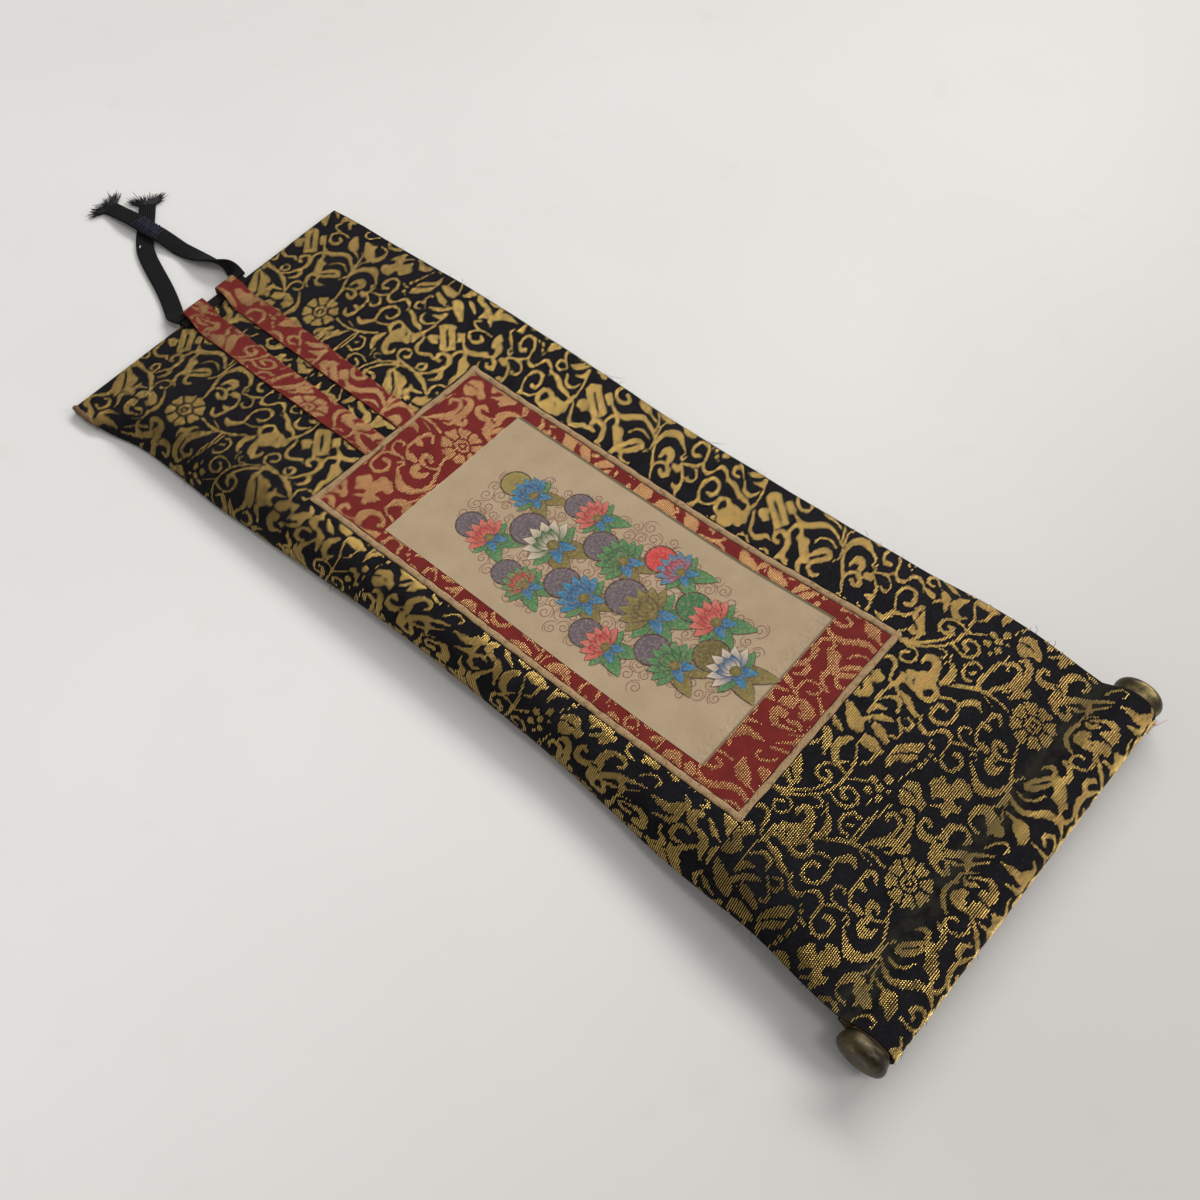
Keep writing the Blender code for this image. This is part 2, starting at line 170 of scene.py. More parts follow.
# One repeat of the figured weave. Strokes are rows of (across, along, width).
REPEAT_ACROSS = 48.6
REPEAT_ALONG = 62.3
STROKES = (
    ((20.2, 232.6, 4.6), (21.6, 233.4, 5.0), (24.5, 234.3, 2.6), (27.2, 233.2, 2.3),
     (27.9, 231.4, 1.9), (26.6, 230.3, 1.3), (25.6, 230.6, 0.9)),
    ((21.0, 231.0, 3.4), (21.6, 229.8, 1.8), (21.3, 229.4, 1.0)),
    ((18.6, 234.0, 1.8), (17.7, 235.8, 1.3), (18.6, 237.5, 1.4), (20.8, 237.7, 1.5),
     (22.0, 236.3, 1.3), (21.0, 235.6, 0.8)),
    ((23.6, 237.0, 1.4), (26.0, 237.8, 2.0), (28.3, 237.2, 1.7), (29.6, 236.2, 0.8)),
    ((15.2, 228.2, 0.7), (17.4, 228.9, 1.6), (19.2, 229.1, 1.9), (20.4, 228.6, 1.0)),
    ((18.9, 229.8, 1.2), (18.6, 231.0, 0.8)),
    ((16.8, 227.5, 0.7), (18.8, 226.6, 0.9), (21.4, 226.0, 1.1), (22.4, 224.4, 1.3),
     (21.8, 222.6, 1.3), (20.8, 221.2, 1.2), (21.2, 219.6, 0.7)),
    ((9.0, 228.0, 0.7), (12.0, 227.7, 0.7), (15.2, 227.9, 0.7)),
    ((0.9, 231.6, 2.8), (0.8, 233.2, 3.2), (0.5, 235.2, 2.4)),
    ((-4.6, 234.4, 0.7), (-3.4, 235.6, 0.9), (-0.6, 235.7, 1.0), (0.6, 236.2, 1.6)),
    ((5.0, 230.9, 1.8), (4.6, 233.0, 2.4), (3.4, 235.6, 1.6)),
    ((4.3, 228.2, 1.2), (6.4, 229.8, 1.6), (8.0, 232.0, 1.7), (8.5, 234.0, 0.5)),
    ((7.2, 228.2, 1.0), (9.2, 228.8, 1.8), (10.2, 231.0, 0.6)),
    ((11.8, 228.6, 0.7), (13.6, 230.2, 1.1), (13.5, 232.4, 1.3), (11.2, 233.5, 0.8)),
    ((6.4, 223.4, 1.6), (5.0, 225.2, 2.8), (3.2, 227.6, 3.6), (2.2, 229.4, 2.2)),
    ((-5.9, 231.9, 0.5), (-7.2, 230.0, 1.6), (-5.6, 228.2, 2.0), (-3.0, 227.8, 2.4),
     (-0.8, 229.0, 1.2)),
    ((-21.2, 224.0, 0.8), (-19.2, 228.2, 0.8), (-16.2, 231.8, 0.8), (-12.5, 233.5, 0.9),
     (-9.0, 233.9, 0.9), (-5.4, 233.4, 0.8), (-2.6, 232.0, 0.7), (0.2, 230.4, 0.6)),
    ((-1.6, 221.6, 0.8), (-2.6, 223.8, 2.0), (-4.4, 225.2, 2.2), (-7.6, 226.6, 0.6)),
    ((2.2, 221.8, 0.8), (0.4, 224.4, 1.6), (-0.6, 226.6, 0.6)),
    ((9.2, 222.6, 0.8), (10.2, 224.4, 2.0), (11.6, 225.6, 1.6), (12.6, 224.8, 0.6)),
    ((14.6, 223.2, 0.8), (15.6, 225.0, 2.0), (16.6, 225.4, 1.6), (17.0, 224.0, 0.8)),
    ((27.4, 224.9, 0.7), (27.3, 227.6, 0.7), (25.3, 228.9, 0.7), (23.5, 227.8, 0.7),
     (23.6, 225.8, 0.8), (25.2, 225.2, 1.0), (25.9, 226.3, 1.0)),
    ((-9.0, 233.6, 0.7), (-8.3, 231.3, 0.8), (-8.9, 228.8, 0.9), (-11.0, 227.7, 1.0),
     (-12.9, 228.7, 1.1), (-12.8, 230.7, 1.2), (-11.2, 231.1, 1.2), (-10.6, 229.8, 1.0)),
    ((-14.6, 233.6, 0.6), (-15.5, 236.0, 0.8), (-14.7, 238.4, 0.9), (-12.5, 239.1, 0.9),
     (-10.8, 237.6, 0.9), (-11.2, 235.5, 0.9), (-12.9, 235.2, 1.0), (-13.6, 236.8, 1.0)),
    ((-9.6, 234.2, 0.6), (-8.2, 236.4, 0.6), (-7.0, 238.0, 0.5)),
    ((-19.6, 232.6, 0.5), (-18.4, 233.8, 0.5), (-17.2, 233.0, 0.6), (-17.6, 231.4, 0.5)),
    ((-20.0, 234.9, 0.5), (-18.4, 235.2, 0.6), (-17.2, 234.5, 0.5)),
    ((5.2, 235.9, 0.8), (5.6, 237.1, 0.8), (7.2, 237.1, 0.7), (8.8, 235.6, 0.7), (10.2, 234.5, 0.6)),
    ((8.5, 236.2, 0.8), (8.8, 237.6, 1.0), (10.3, 238.0, 1.0), (11.3, 236.9, 0.8), (10.7, 235.6, 0.6)),
    ((16.4, 229.6, 0.7), (15.6, 231.0, 1.4), (15.4, 233.0, 1.7), (13.8, 235.2, 1.6),
     (13.0, 237.6, 1.1)),
    ((13.9, 238.2, 0.5), (12.2, 238.8, 0.8), (11.0, 240.4, 1.4), (11.3, 242.0, 1.1),
     (13.0, 242.9, 0.7), (14.3, 244.4, 1.3), (14.2, 245.8, 1.2), (12.6, 246.7, 0.8), (9.6, 246.9, 0.9),
     (7.7, 248.0, 1.0), (7.4, 249.9, 1.0), (8.6, 251.2, 1.0), (10.8, 251.4, 1.0), (12.0, 250.2, 1.3),
     (11.6, 249.0, 1.4)),
    ((12.6, 246.6, 0.7), (14.2, 248.2, 0.8), (15.2, 250.4, 0.7), (15.9, 252.4, 0.6)),
    ((18.9, 241.4, 1.1), (18.8, 240.0, 1.2), (17.0, 239.3, 1.1), (15.2, 239.9, 1.1),
     (14.7, 241.5, 1.1), (15.6, 243.1, 1.1), (17.6, 244.1, 1.0), (20.0, 243.9, 0.9),
     (21.8, 243.2, 1.0), (24.0, 244.6, 1.7), (25.0, 246.0, 1.8), (24.2, 247.8, 0.6)),
    ((20.3, 238.7, 0.7), (21.6, 240.4, 0.7), (22.0, 242.8, 0.6)),
    ((15.3, 250.2, 0.7), (15.2, 248.2, 0.7), (16.7, 246.7, 0.7), (18.4, 247.0, 0.8),
     (18.9, 248.4, 0.9), (18.1, 249.0, 0.7)),
    ((24.4, 238.8, 0.7), (26.5, 241.4, 1.0), (28.0, 244.4, 1.0), (29.0, 248.0, 0.9),
     (28.7, 252.2, 0.7)),
    ((27.6, 245.8, 0.35), (27.0, 249.6, 0.35)),
    ((28.4, 243.3, 0.6), (31.0, 243.1, 0.6), (34.6, 243.4, 0.6), (37.2, 243.9, 0.5)),
    ((28.8, 244.2, 0.6), (32.0, 244.0, 0.6), (35.6, 244.3, 0.6), (40.4, 245.0, 0.5)),
    ((28.7, 241.9, 0.8), (28.4, 240.4, 0.9), (29.8, 239.0, 0.9), (32.0, 238.9, 0.9),
     (33.6, 240.2, 0.9), (33.4, 241.8, 0.9)),
    ((31.0, 241.4, 0.8), (30.3, 240.6, 0.8)),
    ((-19.4, 246.0, 0.6), (-17.2, 247.4, 1.4), (-14.8, 248.9, 1.6), (-12.6, 249.4, 1.2),
     (-10.0, 249.2, 1.3), (-9.0, 247.4, 1.3), (-10.2, 246.0, 1.2), (-11.6, 246.6, 0.8)),
    ((-17.4, 248.6, 0.5), (-15.2, 250.0, 0.8), (-13.0, 250.9, 1.2)),
    ((-7.6, 247.7, 0.9), (-6.6, 248.6, 1.5), (-7.4, 250.2, 1.9), (-10.0, 251.2, 2.0),
     (-13.4, 251.4, 1.8), (-16.4, 251.4, 1.0), (-17.2, 250.2, 0.6)),
    ((-14.6, 252.4, 1.6), (-13.4, 253.6, 1.5), (-12.2, 253.2, 1.0)),
    ((-5.4, 254.3, 1.1), (-5.0, 253.2, 1.4), (-6.4, 252.5, 1.2), (-8.1, 253.4, 1.8),
     (-8.0, 255.4, 1.9), (-6.8, 257.2, 1.0)),
    ((-1.5, 252.0, 0.7), (-0.4, 253.2, 1.0), (1.0, 254.2, 1.2)),
    ((12.4, 253.2, 0.8), (11.0, 254.9, 1.2), (9.4, 257.4, 2.6), (10.2, 259.8, 2.2), (12.2, 261.4, 1.5),
     (15.4, 261.8, 0.9), (18.6, 260.6, 0.9), (21.4, 259.2, 0.8), (24.6, 258.2, 0.6)),
    ((17.3, 258.9, 0.8), (15.8, 258.5, 1.5), (14.8, 257.2, 2.6), (15.4, 255.9, 2.0),
     (16.8, 255.8, 1.4), (17.0, 256.6, 0.8)),
    ((18.4, 256.2, 1.2), (19.0, 255.0, 1.4), (20.6, 254.6, 1.5), (21.1, 256.0, 1.4),
     (20.4, 257.0, 1.0)),
    ((18.0, 255.8, 1.0), (18.6, 257.8, 0.9), (19.8, 259.2, 0.8), (21.0, 259.4, 0.7)),
    ((16.6, 252.6, 0.9), (18.0, 250.6, 0.9), (20.0, 249.8, 1.0), (23.0, 249.9, 1.0),
     (25.4, 250.3, 1.3), (26.0, 251.8, 1.2), (24.6, 253.0, 0.8)),
    ((22.0, 250.4, 1.6), (22.0, 251.6, 1.2)),
    ((12.8, 252.9, 0.6), (14.2, 253.3, 0.6), (15.0, 252.3, 0.6), (13.6, 252.0, 0.5)),
    ((17.6, 252.6, 2.0), (17.5, 253.8, 1.8)),
    ((-9.2, 262.4, 0.7), (-11.0, 262.6, 0.9), (-11.4, 260.4, 1.0), (-10.4, 258.8, 1.6),
     (-8.4, 258.2, 2.2), (-7.0, 258.8, 1.6)),
    ((-6.0, 259.0, 1.4), (-4.6, 258.0, 2.2), (-2.4, 258.2, 2.0), (-0.8, 259.6, 1.4),
     (-0.5, 261.4, 1.2), (-1.8, 262.8, 1.2), (-3.2, 262.2, 0.9)),
    ((-7.2, 260.2, 1.2), (-6.2, 262.0, 1.5), (-5.2, 263.8, 1.9), (-6.4, 266.0, 1.4),
     (-8.2, 266.4, 0.8)),
    ((1.0, 263.2, 0.9), (1.2, 261.0, 0.9), (2.6, 259.9, 0.9), (5.0, 260.2, 1.9), (6.6, 261.8, 2.4),
     (6.2, 264.2, 2.2), (4.4, 265.6, 1.8), (2.2, 265.0, 1.0)),
    ((8.2, 262.2, 0.6), (9.6, 263.0, 0.7), (12.6, 262.9, 0.7), (16.2, 262.5, 0.6), (18.6, 263.6, 0.6)),
)
# These strokes are charted on the top panel, where the cloth is turned half round.
TURNED_STROKES = (
    ((26.4, 20.9, 2.0), (27.8, 22.6, 3.2), (29.6, 24.8, 3.8), (30.0, 26.2, 2.2)),
    ((30.8, 17.2, 2.0), (29.6, 18.4, 2.6), (27.6, 20.0, 2.6), (26.6, 21.2, 2.2)),
    ((31.4, 17.6, 1.2), (31.2, 19.2, 0.9), (30.2, 19.6, 0.7)),
    ((21.2, 22.8, 0.6), (22.4, 20.8, 1.2), (24.4, 19.4, 1.6), (26.6, 19.8, 1.6)),
    ((26.0, 22.2, 1.2), (24.4, 22.8, 1.2), (23.8, 24.4, 1.3), (24.6, 25.8, 0.6)),
    ((31.5, 21.0, 0.6), (33.2, 22.0, 0.7), (34.0, 24.4, 0.8), (32.8, 27.0, 0.6)),
    ((36.4, 12.2, 0.6), (34.8, 15.0, 1.5), (35.0, 17.8, 1.9), (36.8, 20.6, 1.8), (37.2, 23.4, 1.5),
     (35.6, 26.2, 1.0), (34.2, 28.0, 0.9)),
    ((17.3, 17.6, 0.7), (19.2, 16.9, 0.8), (21.2, 17.9, 0.8), (21.5, 20.3, 0.8), (20.0, 21.6, 0.9),
     (18.5, 20.6, 0.9), (18.7, 19.4, 0.7)),
    ((8.0, 25.4, 0.7), (11.0, 25.7, 0.9), (14.0, 25.8, 0.8), (16.6, 24.2, 0.7), (18.4, 22.4, 0.7)),
    ((12.4, 14.8, 0.8), (14.0, 12.9, 0.9), (15.6, 13.4, 0.9), (16.2, 15.8, 0.7)),
    ((10.0, 16.6, 2.0), (10.6, 18.6, 2.4)),
    ((13.8, 16.6, 2.4), (14.2, 18.6, 2.8), (15.4, 20.6, 2.0), (13.6, 22.6, 2.4), (12.4, 22.8, 2.0)),
    ((9.6, 21.0, 1.4), (10.0, 23.0, 1.2), (9.0, 24.2, 0.6)),
    ((8.2, 29.4, 1.2), (9.6, 28.4, 1.4), (10.4, 30.4, 1.4), (9.2, 33.0, 1.6), (7.8, 33.6, 1.0)),
    ((38.4, 26.2, 0.6), (39.8, 23.2, 1.2), (41.2, 21.0, 3.6), (43.0, 19.4, 2.4), (44.6, 19.0, 0.8)),
    ((44.4, 23.8, 1.8), (43.6, 25.4, 3.0), (42.4, 27.4, 2.8), (41.8, 28.8, 1.4)),
    ((35.6, 27.7, 0.9), (37.6, 27.3, 0.8), (39.6, 26.6, 0.7), (40.8, 25.4, 0.6)),
    ((48.4, 20.4, 0.6), (47.0, 20.2, 0.7), (46.2, 21.8, 0.7), (47.2, 23.6, 0.7), (48.8, 24.6, 0.6)),
    ((24.2, 74.2, 1.1), (24.4, 72.8, 1.3), (26.0, 72.4, 1.4), (27.1, 73.9, 1.4), (26.2, 76.0, 1.8),
     (24.0, 76.9, 1.6), (21.8, 76.4, 1.2)),
    ((17.4, 72.2, 0.8), (19.0, 74.5, 0.8), (21.0, 75.8, 1.4), (21.2, 77.4, 1.6), (19.6, 78.2, 1.6),
     (18.2, 77.4, 1.2), (17.6, 76.4, 0.8)),
    ((25.6, 76.4, 1.2), (28.0, 75.6, 1.0), (29.9, 76.2, 1.2), (30.4, 77.8, 1.2), (28.9, 79.0, 1.2),
     (27.4, 78.4, 0.8)),
    ((20.6, 70.4, 0.8), (21.1, 71.8, 0.9), (20.0, 73.0, 0.9), (18.7, 72.2, 0.9), (18.7, 70.8, 0.9),
     (19.8, 70.2, 0.8)),
    ((9.4, 59.6, 0.8), (13.0, 61.5, 0.9), (15.5, 64.3, 1.0), (17.0, 67.5, 1.0), (17.3, 71.5, 1.0),
     (16.4, 75.5, 0.9), (13.0, 80.0, 0.8)),
    ((39.4, 79.4, 0.7), (39.5, 76.4, 0.9), (38.6, 74.2, 0.9), (36.6, 73.8, 1.0), (35.0, 75.4, 1.2),
     (35.2, 77.6, 1.2), (36.8, 78.4, 1.1), (37.6, 77.0, 1.0)),
    ((39.4, 74.8, 0.7), (39.8, 72.8, 0.8), (41.0, 71.8, 0.9), (42.0, 72.8, 0.9)),
    ((5.6, 71.6, 0.8), (8.6, 70.6, 2.6), (10.8, 68.6, 4.0), (12.6, 67.0, 3.0), (14.4, 65.8, 1.2),
     (16.2, 66.4, 0.6)),
    ((12.8, 67.4, 2.2), (13.2, 69.8, 2.6), (12.8, 72.0, 1.4)),
    ((9.0, 71.4, 2.4), (9.8, 73.6, 2.4), (12.0, 74.8, 1.6), (13.2, 74.0, 0.8)),
    ((43.4, 71.8, 1.8), (45.0, 72.6, 2.6), (46.6, 71.4, 2.0), (47.6, 69.4, 1.0)),
    ((42.2, 76.6, 0.8), (43.6, 75.0, 1.6), (45.6, 75.6, 2.8), (47.4, 77.4, 2.4), (47.0, 79.4, 1.2)),
)
# And these on its left side, beyond the ribbons.
LEFT_STROKES = (
    ((-45.4, 4.6, 0.9), (-45.8, 6.4, 1.1), (-44.6, 8, 1.4), (-42.8, 8, 1.5), (-41.8, 6.4, 1.2),
     (-42.4, 4.8, 0.7)),
    ((-44.6, 0.8, 0.8), (-42.8, 2.2, 1), (-41, 4, 1.6), (-38.6, 4.6, 2.2), (-36.2, 3.6, 3),
     (-34.4, 3.4, 3.2), (-33.4, 5.6, 3.2), (-34.2, 7.4, 1.4)),
    ((-36.4, 4.8, 2.4), (-35.6, 6.4, 2.4), (-34.4, 7.6, 1.6)),
    ((-32.4, 0.6, 1.8), (-31.6, 2.4, 1.6), (-32.4, 4, 1.4)),
    ((-42.6, 10.8, 0.6), (-40.8, 10.2, 1), (-39.6, 8.6, 1.6), (-38.2, 8.8, 1.6), (-37.6, 10.6, 0.8)),
    ((-37.4, 12.2, 0.8), (-36.4, 10.6, 1.4), (-34.8, 9.6, 1.6), (-33.8, 11.2, 1.2), (-33.6, 13.4, 0.7)),
    ((-41.4, 21.6, 0.6), (-42, 18.8, 1), (-42.2, 16.4, 1.74), (-40.2, 14.8, 2.23), (-38.4, 15.6, 2.6),
     (-36.2, 15.4, 3), (-34.8, 17.6, 2.8), (-34.8, 20.2, 2.4), (-36.2, 21.8, 3), (-37.2, 20.6, 2)),
    ((-43, 20.4, 0.4), (-42.2, 22.6, 0.5), (-40.6, 24, 0.5), (-39.2, 23.4, 0.56), (-38.4, 24.8, 1),
     (-36.6, 25.4, 1), (-34.4, 24.6, 0.9), (-32.6, 23.2, 0.6)),
    ((-33.2, 16.6, 0.8), (-31.4, 13.4, 0.8), (-29.6, 9.8, 0.8), (-28.2, 5.8, 0.8), (-27.6, 1.6, 0.8)),
    ((-48.8, 9.4, 0.8), (-47, 9, 1.6), (-45.2, 9.8, 1.8), (-44.4, 12, 1), (-44, 14.2, 0.31)),
    ((-47.6, 10.8, 2), (-47.3, 13.8, 1.8), (-47.5, 17, 0.5)),
    ((-48, 19, 0.6), (-47.2, 22.4, 1.1), (-46.2, 25.6, 1.5), (-44, 28.6, 1.8), (-41.2, 30.6, 1.4),
     (-39.5, 29.6, 0.87), (-39.2, 27.6, 0.74), (-40.2, 26.5, 0.56)),
    ((-46.4, 19.4, 0.45), (-44.6, 22.4, 0.75), (-43.2, 25.6, 0.9), (-42.4, 28.6, 0.6)),
    ((-46, 31.4, 0.8), (-44.4, 33.4, 1.1), (-43, 35.6, 0.8)),
)
LEAVES = (
    ((-2.6, 239.5), (-0.3, 238.2), (3.6, 238.0), (6.4, 239.8), (8.7, 242.8), (6.2, 243.1),
     (4.1, 243.3), (2.2, 241.9), (1.3, 240.3), (-0.6, 239.7)),
    ((-6.3, 246.4), (-4.7, 244.8), (-2.0, 244.2), (-0.2, 245.6), (0.2, 247.4), (-1.7, 249.5),
     (-2.4, 250.8), (-4.6, 250.8), (-4.3, 249.2), (-5.8, 247.8)),
    ((1.1, 250.0), (1.6, 248.8), (3.0, 248.4), (4.4, 249.2), (5.8, 250.0), (5.6, 250.9), (4.7, 252.0),
     (6.2, 252.6), (7.8, 252.5), (8.3, 254.2), (8.0, 256.0), (6.6, 257.4), (5.0, 257.1), (4.6, 255.8),
     (3.4, 255.2), (2.3, 255.7), (2.8, 257.1), (1.4, 257.3), (0.4, 256.4), (-1.5, 255.8),
     (-1.7, 254.6), (0.2, 253.9), (1.4, 253.2), (1.2, 252.0), (-0.2, 251.3), (-0.2, 250.5)),
)
SLITS = (
    ((1.8, 238.7, 0.4), (3.6, 240.3, 0.55), (5.8, 243.2, 0.5)),
    ((-3.5, 244.6, 0.45), (-2.7, 246.3, 0.5), (-2.9, 248.4, 0.45)),
    ((2.8, 230.5, 0.6), (2.7, 233.0, 0.5), (2.3, 236.0, 0.6)),
    ((-0.6, 230.4, 0.5), (1.4, 230.2, 0.55), (3.8, 230.9, 0.55), (6.0, 230.2, 0.4)),
    ((20.6, 231.5, 0.35), (19.6, 232.2, 0.3)),
    ((-6.9, 257.0, 0.6), (-6.7, 258.4, 0.35)),
)
TURNED_SLITS = (
    ((27.4, 22.0, 0.5), (28.6, 23.6, 0.6), (29.8, 25.2, 0.5)),
    ((8.4, 71.6, 0.4), (10.8, 69.6, 0.5), (13.4, 66.6, 0.45)),
    ((9.0, 19.8, 0.5), (12.0, 20.0, 0.5), (14.6, 19.9, 0.5)),
    ((12.0, 15.0, 0.6), (12.0, 19.0, 0.5)),
)
BERRIES = (
    (-8.8, 239.3, 1.0, 1.0), (-5.9, 239.0, 0.9, 1.0), (-6.7, 241.0, 1.0, 0.95), (-8.8, 242.2, 1.0, 0.8),
    (-3.7, 241.5, 1.15, 0.95), (-6.0, 243.0, 0.6, 0.5), (-10.8, 241.2, 0.9, 0.35), (-1.6, 243.1, 0.9, 0.3),
    (0.2, 243.8, 0.6, 0.35), (1.8, 244.1, 0.7, 0.65), (3.6, 244.7, 0.85, 0.6), (5.5, 245.2, 0.7, 0.6),
    (7.5, 245.1, 0.6, 0.65), (9.0, 244.3, 0.7, 0.55), (9.9, 243.3, 0.5, 0.3), (7.3, 246.5, 0.5, 0.45),
)
BOXED_MOTIF = (31.6, 70.0)
ROSETTE = (30.0, 258.3)
TURN_FROM = (45.8, 291.5)
LEAN = 0.054
LEAN_FROM = 58.0

# Where each piece was cut from the figured cloth: turned half round or not, the middle of the piece,
# and the place there in the repeat with its shifts down and across.
CUTS = {
    "bottom": (False, 0.0, 244.25, (-0.18, 57.34, 0.0084, 0.005, 0.0102, 0.0091, 0.045, -0.045)),
    "top_right": (True, 29.0, 46.5, (16.81, 57.88, -0.056, -0.0425, 0.0335, 0.0194, 0.082, -0.0515)),
    "top_left": (True, -27.5, 46.5, (72.73, 58.54, -0.0319, 0.0974, 0.0044, 0.0112, 0.0888, -0.1048)),
    "side_right": (True, 40.0, 153.0, (14.96, 60.4, 0.0226, -0.3108, 0.162, -0.0393, -0.0008, -0.0308)),
    "side_left": (False, -39.5, 153.0, (42.31, 36.2, 0.0142, -0.1556, 0.1481, -0.0072, 0.0612, -0.0485)),
    "band_top": (False, -1.25, 95.5, (21.81, 5.4, 0.1384, -0.0699, 0.0223, -0.1647, 0.0962, -0.3205)),
    "band_bottom": (True, -1.25, 214.75, (33.9, 22.9, 0.0, 0.02, -0.02, 0.03, 0.0, 0.0)),
    "band_left": (True, -28.25, 156.5, (9.82, 18.75, 0.0113, 0.0042, 0.1252, 0.0364, -0.0022, -0.0535)),
    "band_right": (False, 25.25, 156.5, (6.5, 15.23, 0.0106, 0.0822, -0.2532, 0.0036, -0.2063, -0.181)),
    "ribbon_left": (False, -8.25, 53.0, (33.86, 2.89, -0.0768, -0.2946, 0.1777, -0.0279, -0.0449, 0.0489)),
    "ribbon_right": (True, 3.75, 53.0, (10.31, 35.81, 0.055, -0.0251, 0.0098, 0.0899, 0.1035, -0.3992)),
}

WEFT_PITCH = 0.5
WARP_PITCH = 0.26
WARP_STEP = 0.1
TIE_STEP = 0.45
# The shortest run of gilt that shows, in warp steps, and how far it lies above the ground.
SHORTEST_RUN = 3
GILT_LIFT = 0.012
# How much the gilt's edges come and go from row to row.
RAGGED = 0.09
# A distance from every figure.
FAR = 9.0


def through(stations, values, at):
    """A smooth curve through the values at the stations, read at `at`."""
    slopes = np.gradient(values, stations)
    slopes[1:-1] = (values[2:] - values[:-2]) / (stations[2:] - stations[:-2])
    at = np.clip(at, stations[0], stations[-1])
    i = np.clip(np.searchsorted(stations, at) - 1, 0, len(stations) - 2)
    step = stations[i + 1] - stations[i]
    t = (at - stations[i]) / step
    start = (1 + 2 * t) * (1 - t) ** 2 * values[i] + t * (1 - t) ** 2 * step * slopes[i]
    end = t**2 * (3 - 2 * t) * values[i + 1] - t**2 * (1 - t) * step * slopes[i + 1]
    return start + end


def fold(which, along):
    """A column of the fold table, read anywhere down the scroll."""
    return through(FOLDS[:, 0], FOLDS[:, which], along)


def ease(start, end, at):
    """0 before start, 1 after end, smooth between."""
    t = np.clip((at - start) / (end - start), 0, 1)
    return t * t * (3 - 2 * t)


def unit(vectors):
    """The vectors at length one."""
    return vectors / np.maximum(np.linalg.norm(vectors, axis=-1, keepdims=True), 1e-9)


class Patch:
    """A surface known where its stations across and along cross, and read anywhere between them."""

    def __init__(self, across, along, points, normals):
        self.across, self.along = across, along
        self.points, self.normals = points, normals

    def at(self, across, along, lift=0.0):
        """The points at places on the flat cloth, raised by lift from it."""
        across, along, lift = np.broadcast_arrays(across, along, lift)
        i = np.clip(np.searchsorted(self.along, along) - 1, 0, len(self.along) - 2)
        j = np.clip(np.searchsorted(self.across, across) - 1, 0, len(self.across) - 2)
        s = (along - self.along[i]) / (self.along[i + 1] - self.along[i])
        t = (across - self.across[j]) / (self.across[j + 1] - self.across[j])
        s, t = s[..., None], t[..., None]
        found = []
        for values in (self.points, self.normals):
            near = values[i, j] * (1 - t) + values[i, j + 1] * t
            far = values[i + 1, j] * (1 - t) + values[i + 1, j + 1] * t
            found.append(near * (1 - s) + far * s)
        return found[0] + lift[..., None] * unit(found[1])


def ripple(across, along):
    """The slight waves that paste and rolling leave in the cloth."""
    waves = 0.10 * np.sin(across / 8.7 + 1.3) * np.sin(along / 12.1 + 0.7)
    waves = waves + 0.07 * np.sin(across / 4.9 - along / 7.3)
    return waves + 0.05 * np.sin(along / 3.4 + across / 14.0)


def roll_path():
    """Stations round the roller as (run of the cloth, y behind the crease, z, outward y, outward z)."""
    centre = np.array((-ROLL_BEHIND_CREASE, ROLL_RADIUS))
    start = np.array((0.0, FOLDS[-1][MIDDLE]))
    end = start - np.array((0.0, GLUED_DROP))
    angles = []
    for point, side in ((start, 1), (end, -1)):
        reach = point - centre
        angles.append(atan2(reach[1], reach[0]) + side * acos(ROLL_RADIUS / np.hypot(*reach)))
    turned = np.linspace(angles[0], 2 * pi + angles[1], 73)
    ring = [(centre + ROLL_RADIUS * np.array((cos(a), sin(a))), (cos(a), sin(a))) for a in turned]
    first = [(start + (ring[0][0] - start) * t, ring[0][1]) for t in (0.25, 0.5, 0.75)]
    last = [(ring[-1][0] + (end - ring[-1][0]) * t, ring[-1][1]) for t in (0.5, 1.0)]
    path, run, before = [], 0.0, start
    for point, out in first + ring + last:
        run += float(np.hypot(*(point - before)))
        before = point
        path.append((run, *point, *out))
    return np.array(path)


